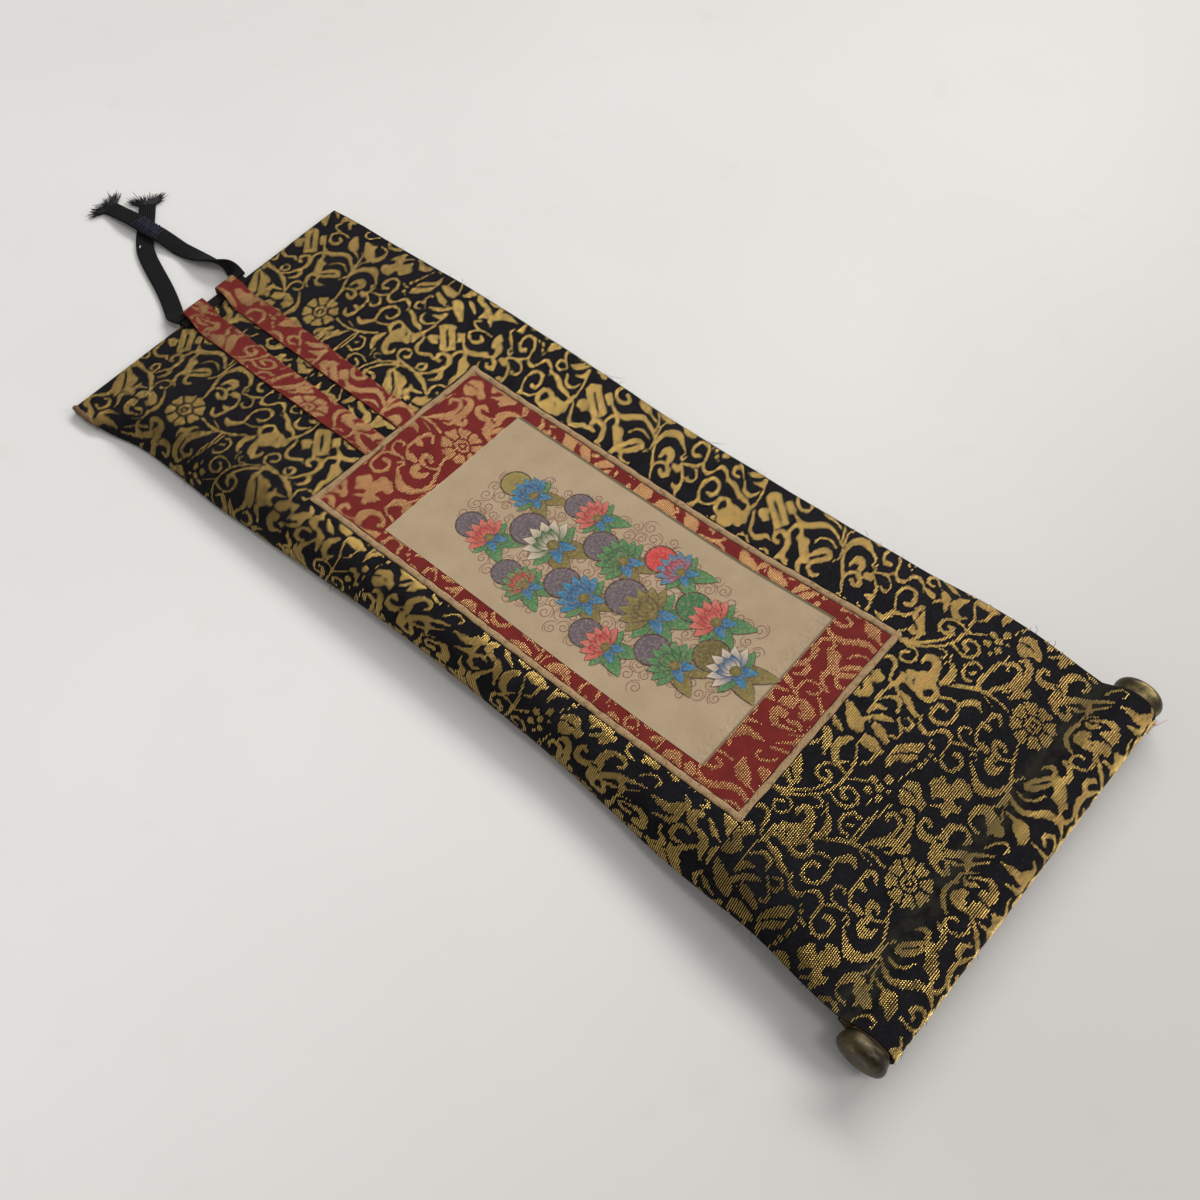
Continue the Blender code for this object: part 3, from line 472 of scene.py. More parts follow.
def lay_cloth():
    """The curled cloth's upper face, from the top edge to the end of its turn round the roller."""
    across = np.linspace(-WIDTH / 2, WIDTH / 2, 401)
    along = np.linspace(0.0, CREASE, 529)
    slope = np.gradient(fold(MIDDLE, along), along)
    level = np.cumsum(np.sqrt(1 - slope**2)) * (along[1] - along[0])
    level -= level[0]
    into_left = np.clip((-across - WIDTH / 2 + LEFT_CURL_WIDTH) / LEFT_CURL_WIDTH, 0, 1)
    into_right = np.clip((across - WIDTH / 2 + RIGHT_CURL_WIDTH) / RIGHT_CURL_WIDTH, 0, 1)
    turn = fold(TILT, along)[:, None] + fold(LEFT_CURL, along)[:, None] * into_left**CURL_POWER
    turn = np.radians(turn - fold(RIGHT_CURL, along)[:, None] * into_right**CURL_POWER)
    step = across[1] - across[0]
    x = np.cumsum(np.cos(turn), 1) * step
    z = np.cumsum(np.sin(turn), 1) * step
    middle = len(across) // 2
    x -= x[:, middle:middle + 1]
    z += fold(MIDDLE, along)[:, None] - z[:, middle:middle + 1]
    lean = tan(ROLL_YAW) * across * ease(LEAN_START, CREASE, along)[:, None]
    y = TOP_Y - level[:, None] - lean
    rise = slope[:, None] * np.ones_like(x)
    plain = np.sqrt(1 - rise**2)
    normals = np.stack([-plain * np.sin(turn), rise * np.cos(turn), plain * np.cos(turn)], -1)
    points = np.stack([x, y, z], -1)
    path = roll_path()
    y = TOP_Y - CREASE_RUN + path[:, 1:2] - tan(ROLL_YAW) * across
    wide = np.ones_like(y)
    points = np.concatenate([points, np.stack([across * wide, y, path[:, 2:3] * wide], -1)])
    round_roll = np.stack([0 * wide, path[:, 3:4] * wide, path[:, 4:5] * wide], -1)
    normals = unit(np.concatenate([normals, round_roll]))
    along = np.concatenate([along, CREASE + path[:, 0]])
    calm = 1 - ease(255.0, CREASE, along)[:, None]
    calm = calm * ease(0.0, 9.0, along)[:, None]
    waves = ripple(across[None, :], along[:, None]) * calm
    return Patch(across, along, points + waves[..., None] * normals, normals)


cloth = lay_cloth()
ROLL_END = cloth.along[-1]


class Wire:
    """A socket's value in a finish, on which plain arithmetic adds Math nodes."""

    def __init__(self, finish, socket):
        self.finish, self.socket = finish, socket

    def math(self, operation, first, second=None):
        sockets = {0: first} if second is None else {0: first, 1: second}
        return self.finish.node("ShaderNodeMath", {"operation": operation}, sockets)

    def __add__(self, other):
        return self.math("ADD", self, other)

    def __radd__(self, other):
        return self.math("ADD", other, self)

    def __sub__(self, other):
        return self.math("SUBTRACT", self, other)

    def __rsub__(self, other):
        return self.math("SUBTRACT", other, self)

    def __mul__(self, other):
        return self.math("MULTIPLY", self, other)

    def __rmul__(self, other):
        return self.math("MULTIPLY", other, self)

    def __pow__(self, other):
        return self.math("POWER", self, other)

    def sine(self):
        return self.math("SINE", self)

    def size(self):
        return self.math("ABSOLUTE", self)

    def between(self, start, end):
        """0 at start, 1 at end, and clamped outside them."""
        sockets = {"Value": self, "From Min": start, "From Max": end}
        settings = {"interpolation_type": "SMOOTHSTEP"}
        return self.finish.node("ShaderNodeMapRange", settings, sockets)


class Finish:
    """A material, and the nodes that colour and roughen it."""

    def __init__(self, name, **constants):
        self.material = bpy.data.materials.new(name)
        self.material.use_nodes = True
        self.tree = self.material.node_tree
        self.shader = self.tree.nodes["Principled BSDF"]
        for socket, value in constants.items():
            self.set(socket.replace("_", " "), value)

    def node(self, kind, settings=None, sockets=None, out=0):
        """One node: its settings first, then the values or wires of its sockets."""
        made = self.tree.nodes.new(kind)
        for key, value in (settings or {}).items():
            if key == "stops":
                self.set_stops(made.color_ramp, value)
            else:
                setattr(made, key, value)
        for key, value in (sockets or {}).items():
            self.join(value, made.inputs[key])
        return Wire(self, made.outputs[out])

    def set_stops(self, ramp, stops):
        while len(ramp.elements) < len(stops):
            ramp.elements.new(0.5)
        for element, (place, colour) in zip(ramp.elements, stops):
            element.position = place
            element.color = (*colour, 1.0)

    def join(self, value, socket):
        if isinstance(value, Wire):
            self.tree.links.new(value.socket, socket)
        elif socket.type == "RGBA":
            socket.default_value = (*value, 1.0)
        else:
            socket.default_value = value

    def set(self, socket, value):
        """A value or wire for one of the shader's sockets."""
        self.join(value, self.shader.inputs[socket])

    def blend(self, share, first, second):
        """The second colour over the first, by a share from 0 to 1."""
        settings = {"data_type": "RGBA", "clamp_factor": True}
        return self.node("ShaderNodeMix", settings, {0: share, 6: first, 7: second}, out=2)

    def place(self):
        """The place on the flat cloth, in millimetres across and along."""
        return self.node("ShaderNodeAttribute", {"attribute_name": "flat_place"}, out=1)

    def split(self, vector):
        """A vector's three parts."""
        parts = self.node("ShaderNodeSeparateXYZ", {}, {0: vector}).socket.node.outputs
        return [Wire(self, socket) for socket in parts]

    def noise(self, scale, detail=2.0, vector=None, roughness=0.5):
        """Cloudy change from 0 to 1 over the flat cloth, or over another vector."""
        sockets = {"Vector": vector or self.place(), "Scale": scale, "Detail": detail}
        sockets["Roughness"] = roughness
        return self.node("ShaderNodeTexNoise", {}, sockets)

    def ramp(self, value, *stops):
        """A colour from a value, by stops of (value, colour)."""
        return self.node("ShaderNodeValToRGB", {"stops": stops}, {0: value})

    def bump(self, height, distance, strength=1.0):
        """Fine relief, its height in metres."""
        sockets = {"Height": height, "Distance": distance, "Strength": strength}
        self.set("Normal", self.node("ShaderNodeBump", {}, sockets))


def glue_stain(finish, colour, along, tone):
    """Darkens and dulls the line just past the crease, where glue has come through."""
    band = along.between(260.5, 263.5) * (1 - along.between(266.0, 269.5))
    mottled = band * finish.noise(0.35, 3.0).between(0.3, 0.6)
    return finish.blend(mottled * 0.42, colour, tone), mottled


def black_ground():
    """The black satin ground of the brocade."""
    finish = Finish("black_brocade", Specular_IOR_Level=0.05)
    across, along, _ = finish.split(finish.place())
    warp = (across * (2 * pi / WARP_PITCH)).sine()
    weft = (along * (2 * pi / WEFT_PITCH)).sine()
    mottle = finish.noise(0.22, 4.0)
    colour = finish.ramp(mottle, (0.3, (0.0030, 0.0028, 0.0036)), (0.7, (0.0085, 0.0078, 0.0095)))
    # Painted sheen: the warp threads are painted lighter in fine stripes, as if their crowns caught the
    # light.
    colour = finish.blend((warp * 0.5 + 0.5) * 0.35, colour, (0.013, 0.0125, 0.016))
    fluff = finish.noise(1.3, 3.0).between(0.5, 0.78)
    colour = finish.blend(fluff * 0.5, colour, (0.024, 0.023, 0.028))
    colour, stain = glue_stain(finish, colour, along, (0.045, 0.041, 0.026))
    finish.set("Base Color", colour)
    finish.set("Roughness", 0.62 + stain * 0.2)
    finish.bump(warp * 0.4 + weft * 0.6 + finish.noise(3.0, 2.0) * 0.8, 0.00006)
    return finish.material


def red_ground():
    """The red satin ground of the bands and ribbons."""
    finish = Finish("red_brocade_ground", Specular_IOR_Level=0.12)
    across, along, _ = finish.split(finish.place())
    warp = (across * (2 * pi / WARP_PITCH)).sine()
    weft = (along * (2 * pi / WEFT_PITCH)).sine()
    mottle = finish.noise(0.25, 4.0)
    colour = finish.ramp(mottle, (0.3, (0.145, 0.0135, 0.0115)), (0.7, (0.205, 0.021, 0.017)))
    colour = finish.blend((weft * 0.5 + 0.5) * 0.4, colour, (0.085, 0.008, 0.008))
    finish.set("Base Color", colour)
    finish.set("Roughness", 0.66 + mottle * 0.1)
    finish.bump(warp * 0.4 + weft * 0.6 + finish.noise(3.0, 2.0) * 0.8, 0.00006)
    return finish.material


def gilt(name, dull, bright, shine):
    """Flat gilt thread, tied down every half millimetre so that it catches light in beads."""
    finish = Finish(name, Specular_IOR_Level=0.5)
    across, along, _ = finish.split(finish.place())
    beads = (across * (2 * pi / 0.5) + along * (2 * pi / 1.5)).sine() * 0.5 + 0.5
    worn = finish.noise(0.16, 4.0, roughness=0.6)
    speckle = finish.noise(2.6, 2.0)
    colour = finish.blend(speckle.between(0.35, 0.7), dull, bright)
    colour = finish.blend(worn.between(0.45, 0.75) * 0.45, colour, [c * 0.55 for c in dull])
    # Painted shade: the gilt is darker over the top of the scroll, fading out between 40 and 120 mm down.
    colour = finish.blend((1 - along.between(40.0, 120.0)) * 0.28, colour, [c * 0.4 for c in dull])
    colour = finish.blend((1 - beads) * 0.5, colour, [c * 0.3 for c in dull])
    colour, stain = glue_stain(finish, colour, along, (0.16, 0.13, 0.06))
    finish.set("Base Color", colour)
    finish.set("Metallic", (1 - stain * 0.7) * (shine * (0.75 + speckle * 0.35)))
    finish.set("Roughness", 0.13 + worn * 0.12 + (1 - beads) * 0.10 + stain * 0.5)
    finish.bump(beads + speckle, 0.00004)
    return finish.material


def plain_paper():
    """The picture's aged paper."""
    finish = Finish("aged_paper", Specular_IOR_Level=0.25)
    across, along, _ = finish.split(finish.place())
    clouds = finish.noise(0.09, 5.0, roughness=0.6)
    fibre = finish.noise(1.9, 4.0, roughness=0.65)
    colour = finish.ramp(clouds, (0.3, (0.345, 0.253, 0.158)), (0.7, (0.41, 0.308, 0.202)))
    colour = finish.blend(fibre.between(0.52, 0.72) * 0.3, colour, (0.27, 0.19, 0.115))
    far = ((across - 0.5) ** 2 + (along - 202.0) ** 2) ** 0.5 + finish.noise(1.2, 2.0) * 0.7
    colour = finish.blend((1 - far.between(0.6, 1.5)) * 0.8, colour, (0.62, 0.45, 0.07))
    edge = (across - PICTURE_RIGHT + 0.1).size().between(0.75, 0.1) * 0.8
    colour = finish.blend(edge, colour, (0.045, 0.05, 0.018))
    edge = (along - PICTURE_BOTTOM + 0.05).size().between(0.6, 0.1) * 0.7
    colour = finish.blend(edge, colour, (0.09, 0.045, 0.02))
    creased = along.between(202.0, 206.5) * finish.noise(0.7, 3.0).between(0.4, 0.6)
    colour = finish.blend(creased * 0.12, colour, (0.24, 0.17, 0.10))
    finish.set("Base Color", colour)
    finish.set("Roughness", 0.82 + fibre * 0.12)
    finish.bump(fibre + clouds * 2.0 + creased, 0.00008, 0.8)
    return finish.material


def edging_cloth():
    """The tan strip round the mounted frame, rubbed and marked brown."""
    finish = Finish("tan_edging", Specular_IOR_Level=0.3)
    across, along, _ = finish.split(finish.place())
    marks = finish.noise(0.55, 5.0, roughness=0.7)
    threads = finish.noise(2.4, 2.0)
    weft = ((along + across) * (2 * pi / 0.5)).sine() * 0.5 + 0.5
    colour = finish.ramp(threads, (0.3, (0.27, 0.165, 0.078)), (0.7, (0.39, 0.26, 0.135)))
    colour = finish.blend(marks.between(0.5, 0.66) * 0.75, colour, (0.10, 0.052, 0.022))
    finish.set("Base Color", colour)
    finish.set("Roughness", 0.62 + marks * 0.25)
    finish.bump(weft * 0.5 + threads, 0.00008)
    return finish.material


def backing_paper(name, dark, light, fleck):
    """The brown paper lining on the back and in the folds."""
    finish = Finish(name, Specular_IOR_Level=0.25)
    clouds = finish.noise(0.12, 4.0)
    fibre = finish.noise(2.2, 4.0)
    colour = finish.ramp(clouds, (0.3, dark), (0.7, light))
    colour = finish.blend(fibre.between(0.5, 0.7) * 0.35, colour, fleck)
    finish.set("Base Color", colour)
    finish.set("Roughness", 0.85 + fibre * 0.1)
    finish.bump(fibre, 0.00008)
    return finish.material


def tape_weave():
    """The black tape, ribbed down its length."""
    finish = Finish("black_tape", Specular_IOR_Level=0.12)
    across, along, _ = finish.split(finish.place())
    ribs = (across * (2 * pi / 0.62)).sine() * 0.5 + 0.5
    knots = (along * (2 * pi / 0.5) + across * 2.0).sine() * 0.5 + 0.5
    dust = finish.noise(0.8, 4.0)
    colour = finish.blend(ribs * 0.6, (0.0035, 0.0035, 0.0042), (0.0105, 0.0105, 0.0125))
    colour = finish.blend(dust.between(0.55, 0.75) * 0.3, colour, (0.022, 0.022, 0.024))
    finish.set("Base Color", colour)
    finish.set("Roughness", 0.66 + dust * 0.15)
    finish.bump(ribs + knots * 0.5, 0.00012)
    return finish.material


def thread_fibre(name, dark, light):
    """Loose thread, its colour changing a little from strand to strand."""
    finish = Finish(name, Specular_IOR_Level=0.3)
    where = finish.node("ShaderNodeTexCoord", out=3)
    change = finish.noise(900.0, 2.0, vector=where)
    finish.set("Base Color", finish.blend(change, dark, light))
    finish.set("Roughness", 0.6 + change * 0.2)
    return finish.material


def tarnished_brass():
    """The thin brass of the caps, brown-black where it has tarnished and bright where it is rubbed."""
    finish = Finish("tarnished_brass")
    where = finish.node("ShaderNodeTexCoord", out=3)
    clouds = finish.noise(160.0, 5.0, vector=where, roughness=0.6)
    pits = finish.noise(900.0, 3.0, vector=where)
    black, brown, rubbed = (0.03, 0.024, 0.014), (0.085, 0.066, 0.032), (0.30, 0.23, 0.095)
    colour = finish.ramp(clouds, (0.38, black), (0.54, brown), (0.72, rubbed))
    colour = finish.blend(pits.between(0.55, 0.7) * 0.7, colour, (0.03, 0.022, 0.014))
    finish.set("Base Color", colour)
    finish.set("Metallic", 0.85 - pits.between(0.5, 0.7) * 0.45)
    finish.set("Roughness", 0.30 + clouds * 0.25)
    finish.bump(pits + clouds, 0.00012, 0.6)
    return finish.material


def dowel_wood():
    """Pale softwood with its grain along the roller."""
    finish = Finish("dowel_softwood", Specular_IOR_Level=0.3)
    where = finish.node("ShaderNodeTexCoord", out=3)
    stretch = {0: where, 1: (0.08, 1.0, 1.0)}
    stretched = finish.node("ShaderNodeVectorMath", {"operation": "MULTIPLY"}, stretch)
    grain = finish.noise(1400.0, 4.0, vector=stretched)
    finish.set("Base Color", finish.ramp(grain, (0.3, (0.30, 0.18, 0.09)), (0.7, (0.46, 0.31, 0.17))))
    finish.set("Roughness", 0.6 + grain * 0.2)
    finish.bump(grain, 0.0001)
    return finish.material


def paint_wash():
    """The printed colours, a little uneven where the paper drinks them."""
    finish = Finish("printed_colours", Specular_IOR_Level=0.3)
    painted = finish.node("ShaderNodeAttribute", {"attribute_name": "wash"}, out=0)
    uneven = finish.noise(1.4, 4.0)
    finish.set("Base Color", finish.blend(uneven.between(0.4, 0.75) * 0.35, painted, (0.42, 0.31, 0.21)))
    finish.set("Roughness", 0.7 + uneven * 0.15)
    finish.bump(finish.noise(1.9, 4.0), 0.00006, 0.6)
    return finish.material


def table_top():
    """The pale table."""
    finish = Finish("pale_table", Specular_IOR_Level=0.3)
    where = finish.node("ShaderNodeTexCoord", out=3)
    clouds = finish.noise(7.0, 4.0, vector=where)
    marks = finish.noise(60.0, 3.0, vector=where)
    x, y, _ = finish.split(where)
    colour = finish.ramp(clouds, (0.3, (0.70, 0.692, 0.678)), (0.7, (0.745, 0.738, 0.725)))
    colour = finish.blend(marks.between(0.62, 0.78) * 0.12, colour, (0.52, 0.51, 0.48))
    # Painted shade: the table's colour darkens towards +x and towards -y.
    colour = finish.blend(x.between(-0.1, 0.42) * 0.32, colour, (0.30, 0.28, 0.27))
    colour = finish.blend((0 - y).between(-0.02, 0.20) * 0.46, colour, (0.34, 0.32, 0.305))
    finish.set("Base Color", colour)
    finish.set("Roughness", 0.55)
    return finish.material


def link(name, points, faces, materials, place=None, which=None, slot=None, angle=50.0):
    """A piece from points in millimetres, riding on the scroll."""
    mesh = bpy.data.meshes.new(name)
    faces = faces.tolist() if hasattr(faces, "tolist") else faces
    mesh.from_pydata((np.asarray(points) * MM).tolist(), [], faces)
    for material in materials:
        mesh.materials.append(material)
    if which is not None:
        mesh.polygons.foreach_set("material_index", np.asarray(which, np.int32))
    if place is not None:
        layer = mesh.attributes.new("flat_place", "FLOAT_VECTOR", "POINT")
        layer.data.foreach_set("vector", np.asarray(place, np.float32).ravel())
    mesh.shade_smooth()
    mesh.set_sharp_from_angle(angle=radians(angle))
    piece = bpy.data.objects.new(name, mesh)
    bpy.context.scene.collection.objects.link(piece)
    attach(piece, "root")
    return piece


def grid_faces(rows, columns, start=0, flip=False):
    """The quads of a grid of points, turned up, or down with flip."""
    i, j = np.meshgrid(np.arange(rows - 1), np.arange(columns - 1), indexing="ij")
    a = (start + i * columns + j).ravel()
    beside, below, across = a + 1, a + columns, a + columns + 1
    corners = (a, beside, across, below) if flip else (a, below, across, beside)
    return np.stack(corners, 1)


def sheet_of(name, upper, lower, place, face, back, slot):
    """A closed sheet between two grids of points, cloth on one side and lining on the other."""
    rows, columns = upper.shape[:2]
    count = rows * columns
    faces = [grid_faces(rows, columns), grid_faces(rows, columns, count, True)]
    rim = [(0, j) for j in range(columns)]
    rim += [(i, columns - 1) for i in range(1, rows)]
    rim += [(rows - 1, j) for j in range(columns - 2, -1, -1)]
    rim += [(i, 0) for i in range(rows - 2, 0, -1)]
    ring = np.array([i * columns + j for i, j in rim])
    after = np.roll(ring, -1)
    faces.append(np.stack([ring, after, after + count, ring + count], 1))
    which = np.zeros(sum(len(f) for f in faces), int)
    which[len(faces[0]):len(faces[0]) + len(faces[1])] = 1
    points = np.concatenate([upper.reshape(-1, 3), lower.reshape(-1, 3)])
    flat = np.concatenate([place.reshape(-1, 3)] * 2)
    return link(name, points, np.concatenate(faces), [face, back], flat, which, slot)


def stations(start, end, longest):
    """Even places from start to end, no further apart than `longest`."""
    return np.linspace(start, end, max(1, int(np.ceil(abs(end - start) / longest))) + 1)


def panel(name, left, right, top, bottom, face, back, slot, lift=0.0, thick=STRIP_THICK):
    """A flat-cut piece of the mounting between four places."""
    u, v = np.meshgrid(stations(left, right, ACROSS_STEP), stations(top, bottom, ALONG_STEP))
    place = np.stack([u, v, 0 * u], -1)
    return sheet_of(name, cloth.at(u, v, lift), cloth.at(u, v, lift - thick), place, face, back, slot)


def curve_points(rows, per=7):
    """A smooth line through rows of numbers."""
    rows = np.array(rows, float)
    more = np.vstack([2 * rows[0] - rows[1], rows, 2 * rows[-1] - rows[-2]])
    t = np.linspace(0, 1, per, endpoint=False)[:, None]
    out = []
    for a, b, c, d in zip(more, more[1:], more[2:], more[3:]):
        bend = 2 * b + (c - a) * t + (2 * a - 5 * b + 4 * c - d) * t**2
        out.append(0.5 * (bend + (3 * b - a - 3 * c + d) * t**3))
    return np.vstack(out + [rows[-1:]])


class Repeat:
    """How far each place in one repeat of the weave is from the edge of a figure, less than 0 inside."""

    def __init__(self):
        self.columns = int(round(REPEAT_ACROSS / WARP_STEP))
        self.rows = int(round(REPEAT_ALONG / WARP_STEP))
        self.across = REPEAT_ACROSS / self.columns
        self.along = REPEAT_ALONG / self.rows
        self.away = np.full((self.rows, self.columns), FAR)

    def window(self, low, high):
        """The places in a box of the repeat, and their cells, carried round its edges."""
        i = np.arange(int(low[0] / self.across) - 1, int(high[0] / self.across) + 2)
        j = np.arange(int(low[1] / self.along) - 1, int(high[1] / self.along) + 2)
        x, y = np.meshgrid(i * self.across, j * self.along)
        return x, y, np.ix_(j % self.rows, i % self.columns)

    def put(self, where, away, cut=False):
        """Adds a shape to the figures, or cuts it out of them."""
        old = self.away[where]
        self.away[where] = np.maximum(old, -away) if cut else np.minimum(old, away)

    def stroke(self, rows, cut=False):
        """A brush stroke through rows of (across, along, width)."""
        line = curve_points(rows)
        pad = line[:, 2].max() / 2 + 0.8
        x, y, where = self.window(line[:, :2].min(0) - pad, line[:, :2].max(0) + pad)
        best = np.full(x.shape, FAR)
        for a, b in zip(line, line[1:]):
            step = b[:2] - a[:2]
            t = np.clip(((x - a[0]) * step[0] + (y - a[1]) * step[1]) / max(step @ step, 1e-9), 0, 1)
            far = np.hypot(x - a[0] - t * step[0], y - a[1] - t * step[1])
            best = np.minimum(best, far - (a[2] + t * (b[2] - a[2])) / 2)
        self.put(where, best, cut)

    def leaf(self, outline):
        """A filled shape inside a smooth closed outline."""
        line = curve_points(outline + outline[:1], 4)
        x, y, where = self.window(line.min(0) - 0.8, line.max(0) + 0.8)
        best = np.full(x.shape, FAR)
        inside = np.zeros(x.shape, bool)
        for a, b in zip(line, np.roll(line, -1, 0)):
            step = b - a
            if step @ step < 1e-12:
                continue
            t = np.clip(((x - a[0]) * step[0] + (y - a[1]) * step[1]) / (step @ step), 0, 1)
            best = np.minimum(best, np.hypot(x - a[0] - t * step[0], y - a[1] - t * step[1]))
            if a[1] != b[1]:
                meets = step[0] * (y - a[1]) / step[1] + a[0]
                inside ^= ((a[1] > y) != (b[1] > y)) & (x < meets)
        self.put(where, np.where(inside, -best, best))

    def berry(self, x0, y0, wide, tall):
        """A filled oval."""
        x, y, where = self.window((x0 - wide - 1, y0 - tall - 1), (x0 + wide + 1, y0 + tall + 1))
        self.put(where, (np.hypot((x - x0) / wide, (y - y0) / tall) - 1) * min(wide, tall))

    def rosette(self, x0, y0):
        """Eight petals round a curled heart."""
        x, y, where = self.window((x0 - 7, y0 - 7), (x0 + 7, y0 + 7))
        far, angle = np.hypot(x - x0, y - y0), np.arctan2(y - y0, x - x0) + 0.25
        k = np.abs(((angle / (pi / 4)) % 1) - 0.5) * 2
        edge = 5.6 - 1.44 * k**6 - 0.45 * np.exp(-((k / 0.22) ** 2))
        petals = np.maximum(far - edge, 2.45 - far)
        petals = np.maximum(petals, 0.24 - far * np.sin((1 - k) * pi / 8))
        curl = np.abs(far - 1.05 + 0.22 * (angle % (2 * pi)) / pi) - 0.24
        heart = np.maximum(far - 2.0, np.where(far > 2.0, -FAR, -curl))
        self.put(where, np.minimum(petals, heart))

    def boxed(self, x0, y0):
        """Two long bars with a shorter one on each side, leaning."""
        lean = -0.80
        x, y, where = self.window((x0 - 8, y0 - 8), (x0 + 8, y0 + 8))
        p = (x - x0) * cos(lean) + (y - y0) * sin(lean)
        q = (y - y0) * cos(lean) - (x - x0) * sin(lean)

        def block(middle_p, middle_q, half_p, half_q):
            return np.maximum(np.abs(p - middle_p) - half_p, np.abs(q - middle_q) - half_q)

        bars = np.maximum(block(0, 0, 4.6, 2.3), -block(0, 0, 2.9, 0.28))
        sides = np.minimum(block(0.2, -3.9, 1.75, 1.15), block(-0.2, 3.9, 1.75, 1.15))
        self.put(where, np.minimum(bars, sides))

    def read(self, across, along):
        """How far places are from the edge of a figure, in the repeat that they fall in."""
        i = np.round(across / self.across).astype(int) % self.columns
        j = np.round(along / self.along).astype(int) % self.rows
        return self.away[j, i]


def turned_half_round(row):
    """A charted place of the top panel, carried to where the cloth isn't turned."""
    x, y = row[:2]
    return (TURN_FROM[0] - (x + LEAN * (y - LEAN_FROM)), TURN_FROM[1] - y, *row[2:])


def chart_repeat():
    """One repeat of the weave, from its charts."""
    repeat = Repeat()
    for rows in STROKES:
        repeat.stroke(rows)
    for rows in TURNED_STROKES:
        repeat.stroke([turned_half_round(row) for row in rows])
    for rows in LEFT_STROKES:
        repeat.stroke([(*cut_place("top_left", x, y), width) for x, y, width in rows])
    for outline in LEAVES:
        repeat.leaf(outline)
    for berry in BERRIES:
        repeat.berry(*berry)
    repeat.rosette(*ROSETTE)
    repeat.boxed(*turned_half_round(BOXED_MOTIF))
    for rows in SLITS:
        repeat.stroke(rows, True)
    for rows in TURNED_SLITS:
        repeat.stroke([turned_half_round(row) for row in rows], True)
    return repeat


def cut_place(cut, across, along):
    """The place in the repeat under a place on the piece that was cut there."""
    turned, middle, from_top, p = CUTS[cut]
    x, y = across - middle, along - from_top
    way = -1 if turned else 1
    found_across = way * x + p[0] + p[2] * y + p[4] * x + p[6] * y * y / 100
    found_along = way * y + p[1] + p[3] * x + p[5] * y + p[7] * y * y / 100
    return found_across, found_along


def top_cut(across, along):
    """The top panel's place in the repeat, its left and right sides joined under the ribbons."""
    share = ease(-12.0, 8.0, across)
    left, right = cut_place("top_left", across, along), cut_place("top_right", across, along)
    return [a * (1 - share) + b * share for a, b in zip(left, right)]


def whole_width(left, right):
    """The same two edges in every row."""
    def edges(at):
        return left, right
    return edges


def cut_from(cut):
    """Reads the places in the repeat under a piece that was cut there."""
    def place_of(across, along):
        return cut_place(cut, across, along)
    return place_of


def weave_gilt(name, patch, edges, top, bottom, cut, material, slot, width, high=0.09, grow=0.0):
    """The gilt weft of one piece: a flat thread in each row, raised wherever a figure shows."""
    runs = []
    for row, v in enumerate(np.arange(top + WEFT_PITCH / 2, bottom, WEFT_PITCH)):
        left, right = edges(v)
        u = np.arange(left + 0.12, right - 0.1, WARP_STEP)
        if len(u) < 4:
            continue
        stepped = (np.floor(u / TIE_STEP + row / 3) + 0.5 - row / 3) * TIE_STEP
        mu, mv = cut(stepped, np.full_like(u, v))
        inside = repeat.read(mu, mv) < grow + chance.uniform(-RAGGED, RAGGED)
        change = np.flatnonzero(np.diff(np.concatenate([[False], inside, [False]]).astype(int)))
        for start, stop in zip(change[::2], change[1::2]):
            if stop - start >= SHORTEST_RUN:
                runs.append((u[start] - 0.04, u[stop - 1] + 0.04, v))
    pieces_u, pieces_v, counts = [], [], []
    for start, stop, v in runs:
        curl = start < -WIDTH / 2 + LEFT_CURL_WIDTH
        line = stations(start, stop, 0.6 if curl else 0.75)
        pieces_u.append(line)
        pieces_v.append(np.full(len(line), v + chance.normal(0, 0.012)))
        counts.append(len(line))
    u, v, counts = np.concatenate(pieces_u), np.concatenate(pieces_v), np.array(counts)
    first = np.concatenate([[0], np.cumsum(counts)[:-1]])
    ends = np.ones(len(u))
    ends[first] = 0.55
    ends[first + counts - 1] = 0.55
    strength = np.repeat(chance.uniform(0.85, 1.15, len(counts)), counts)
    strength = strength * chance.uniform(0.4, 1.15, len(u))
    shape = np.array((-0.5, -0.30, 0.30, 0.5))
    rise = np.array((0.0, 1.0, 1.0, 0.0))
    wide = width * (0.6 + 0.4 * ends)
    rows_v = v[:, None] + wide[:, None] * shape
    lifts = GILT_LIFT + high * rise * (ends * strength)[:, None]
    rows_u = np.repeat(u[:, None], len(shape), 1)
    points = patch.at(rows_u, rows_v, lifts).reshape(-1, 3)
    place = np.stack([rows_u, rows_v, lifts], -1).reshape(-1, 3)
    joined = np.ones(len(u), bool)
    joined[first + counts - 1] = False
    a = (np.flatnonzero(joined)[:, None] * 4 + np.arange(3)).ravel()
    faces = np.stack([a, a + 1, a + 5, a + 4], 1)
    return link(name, points, faces, [material], place, slot=slot, angle=30.0)


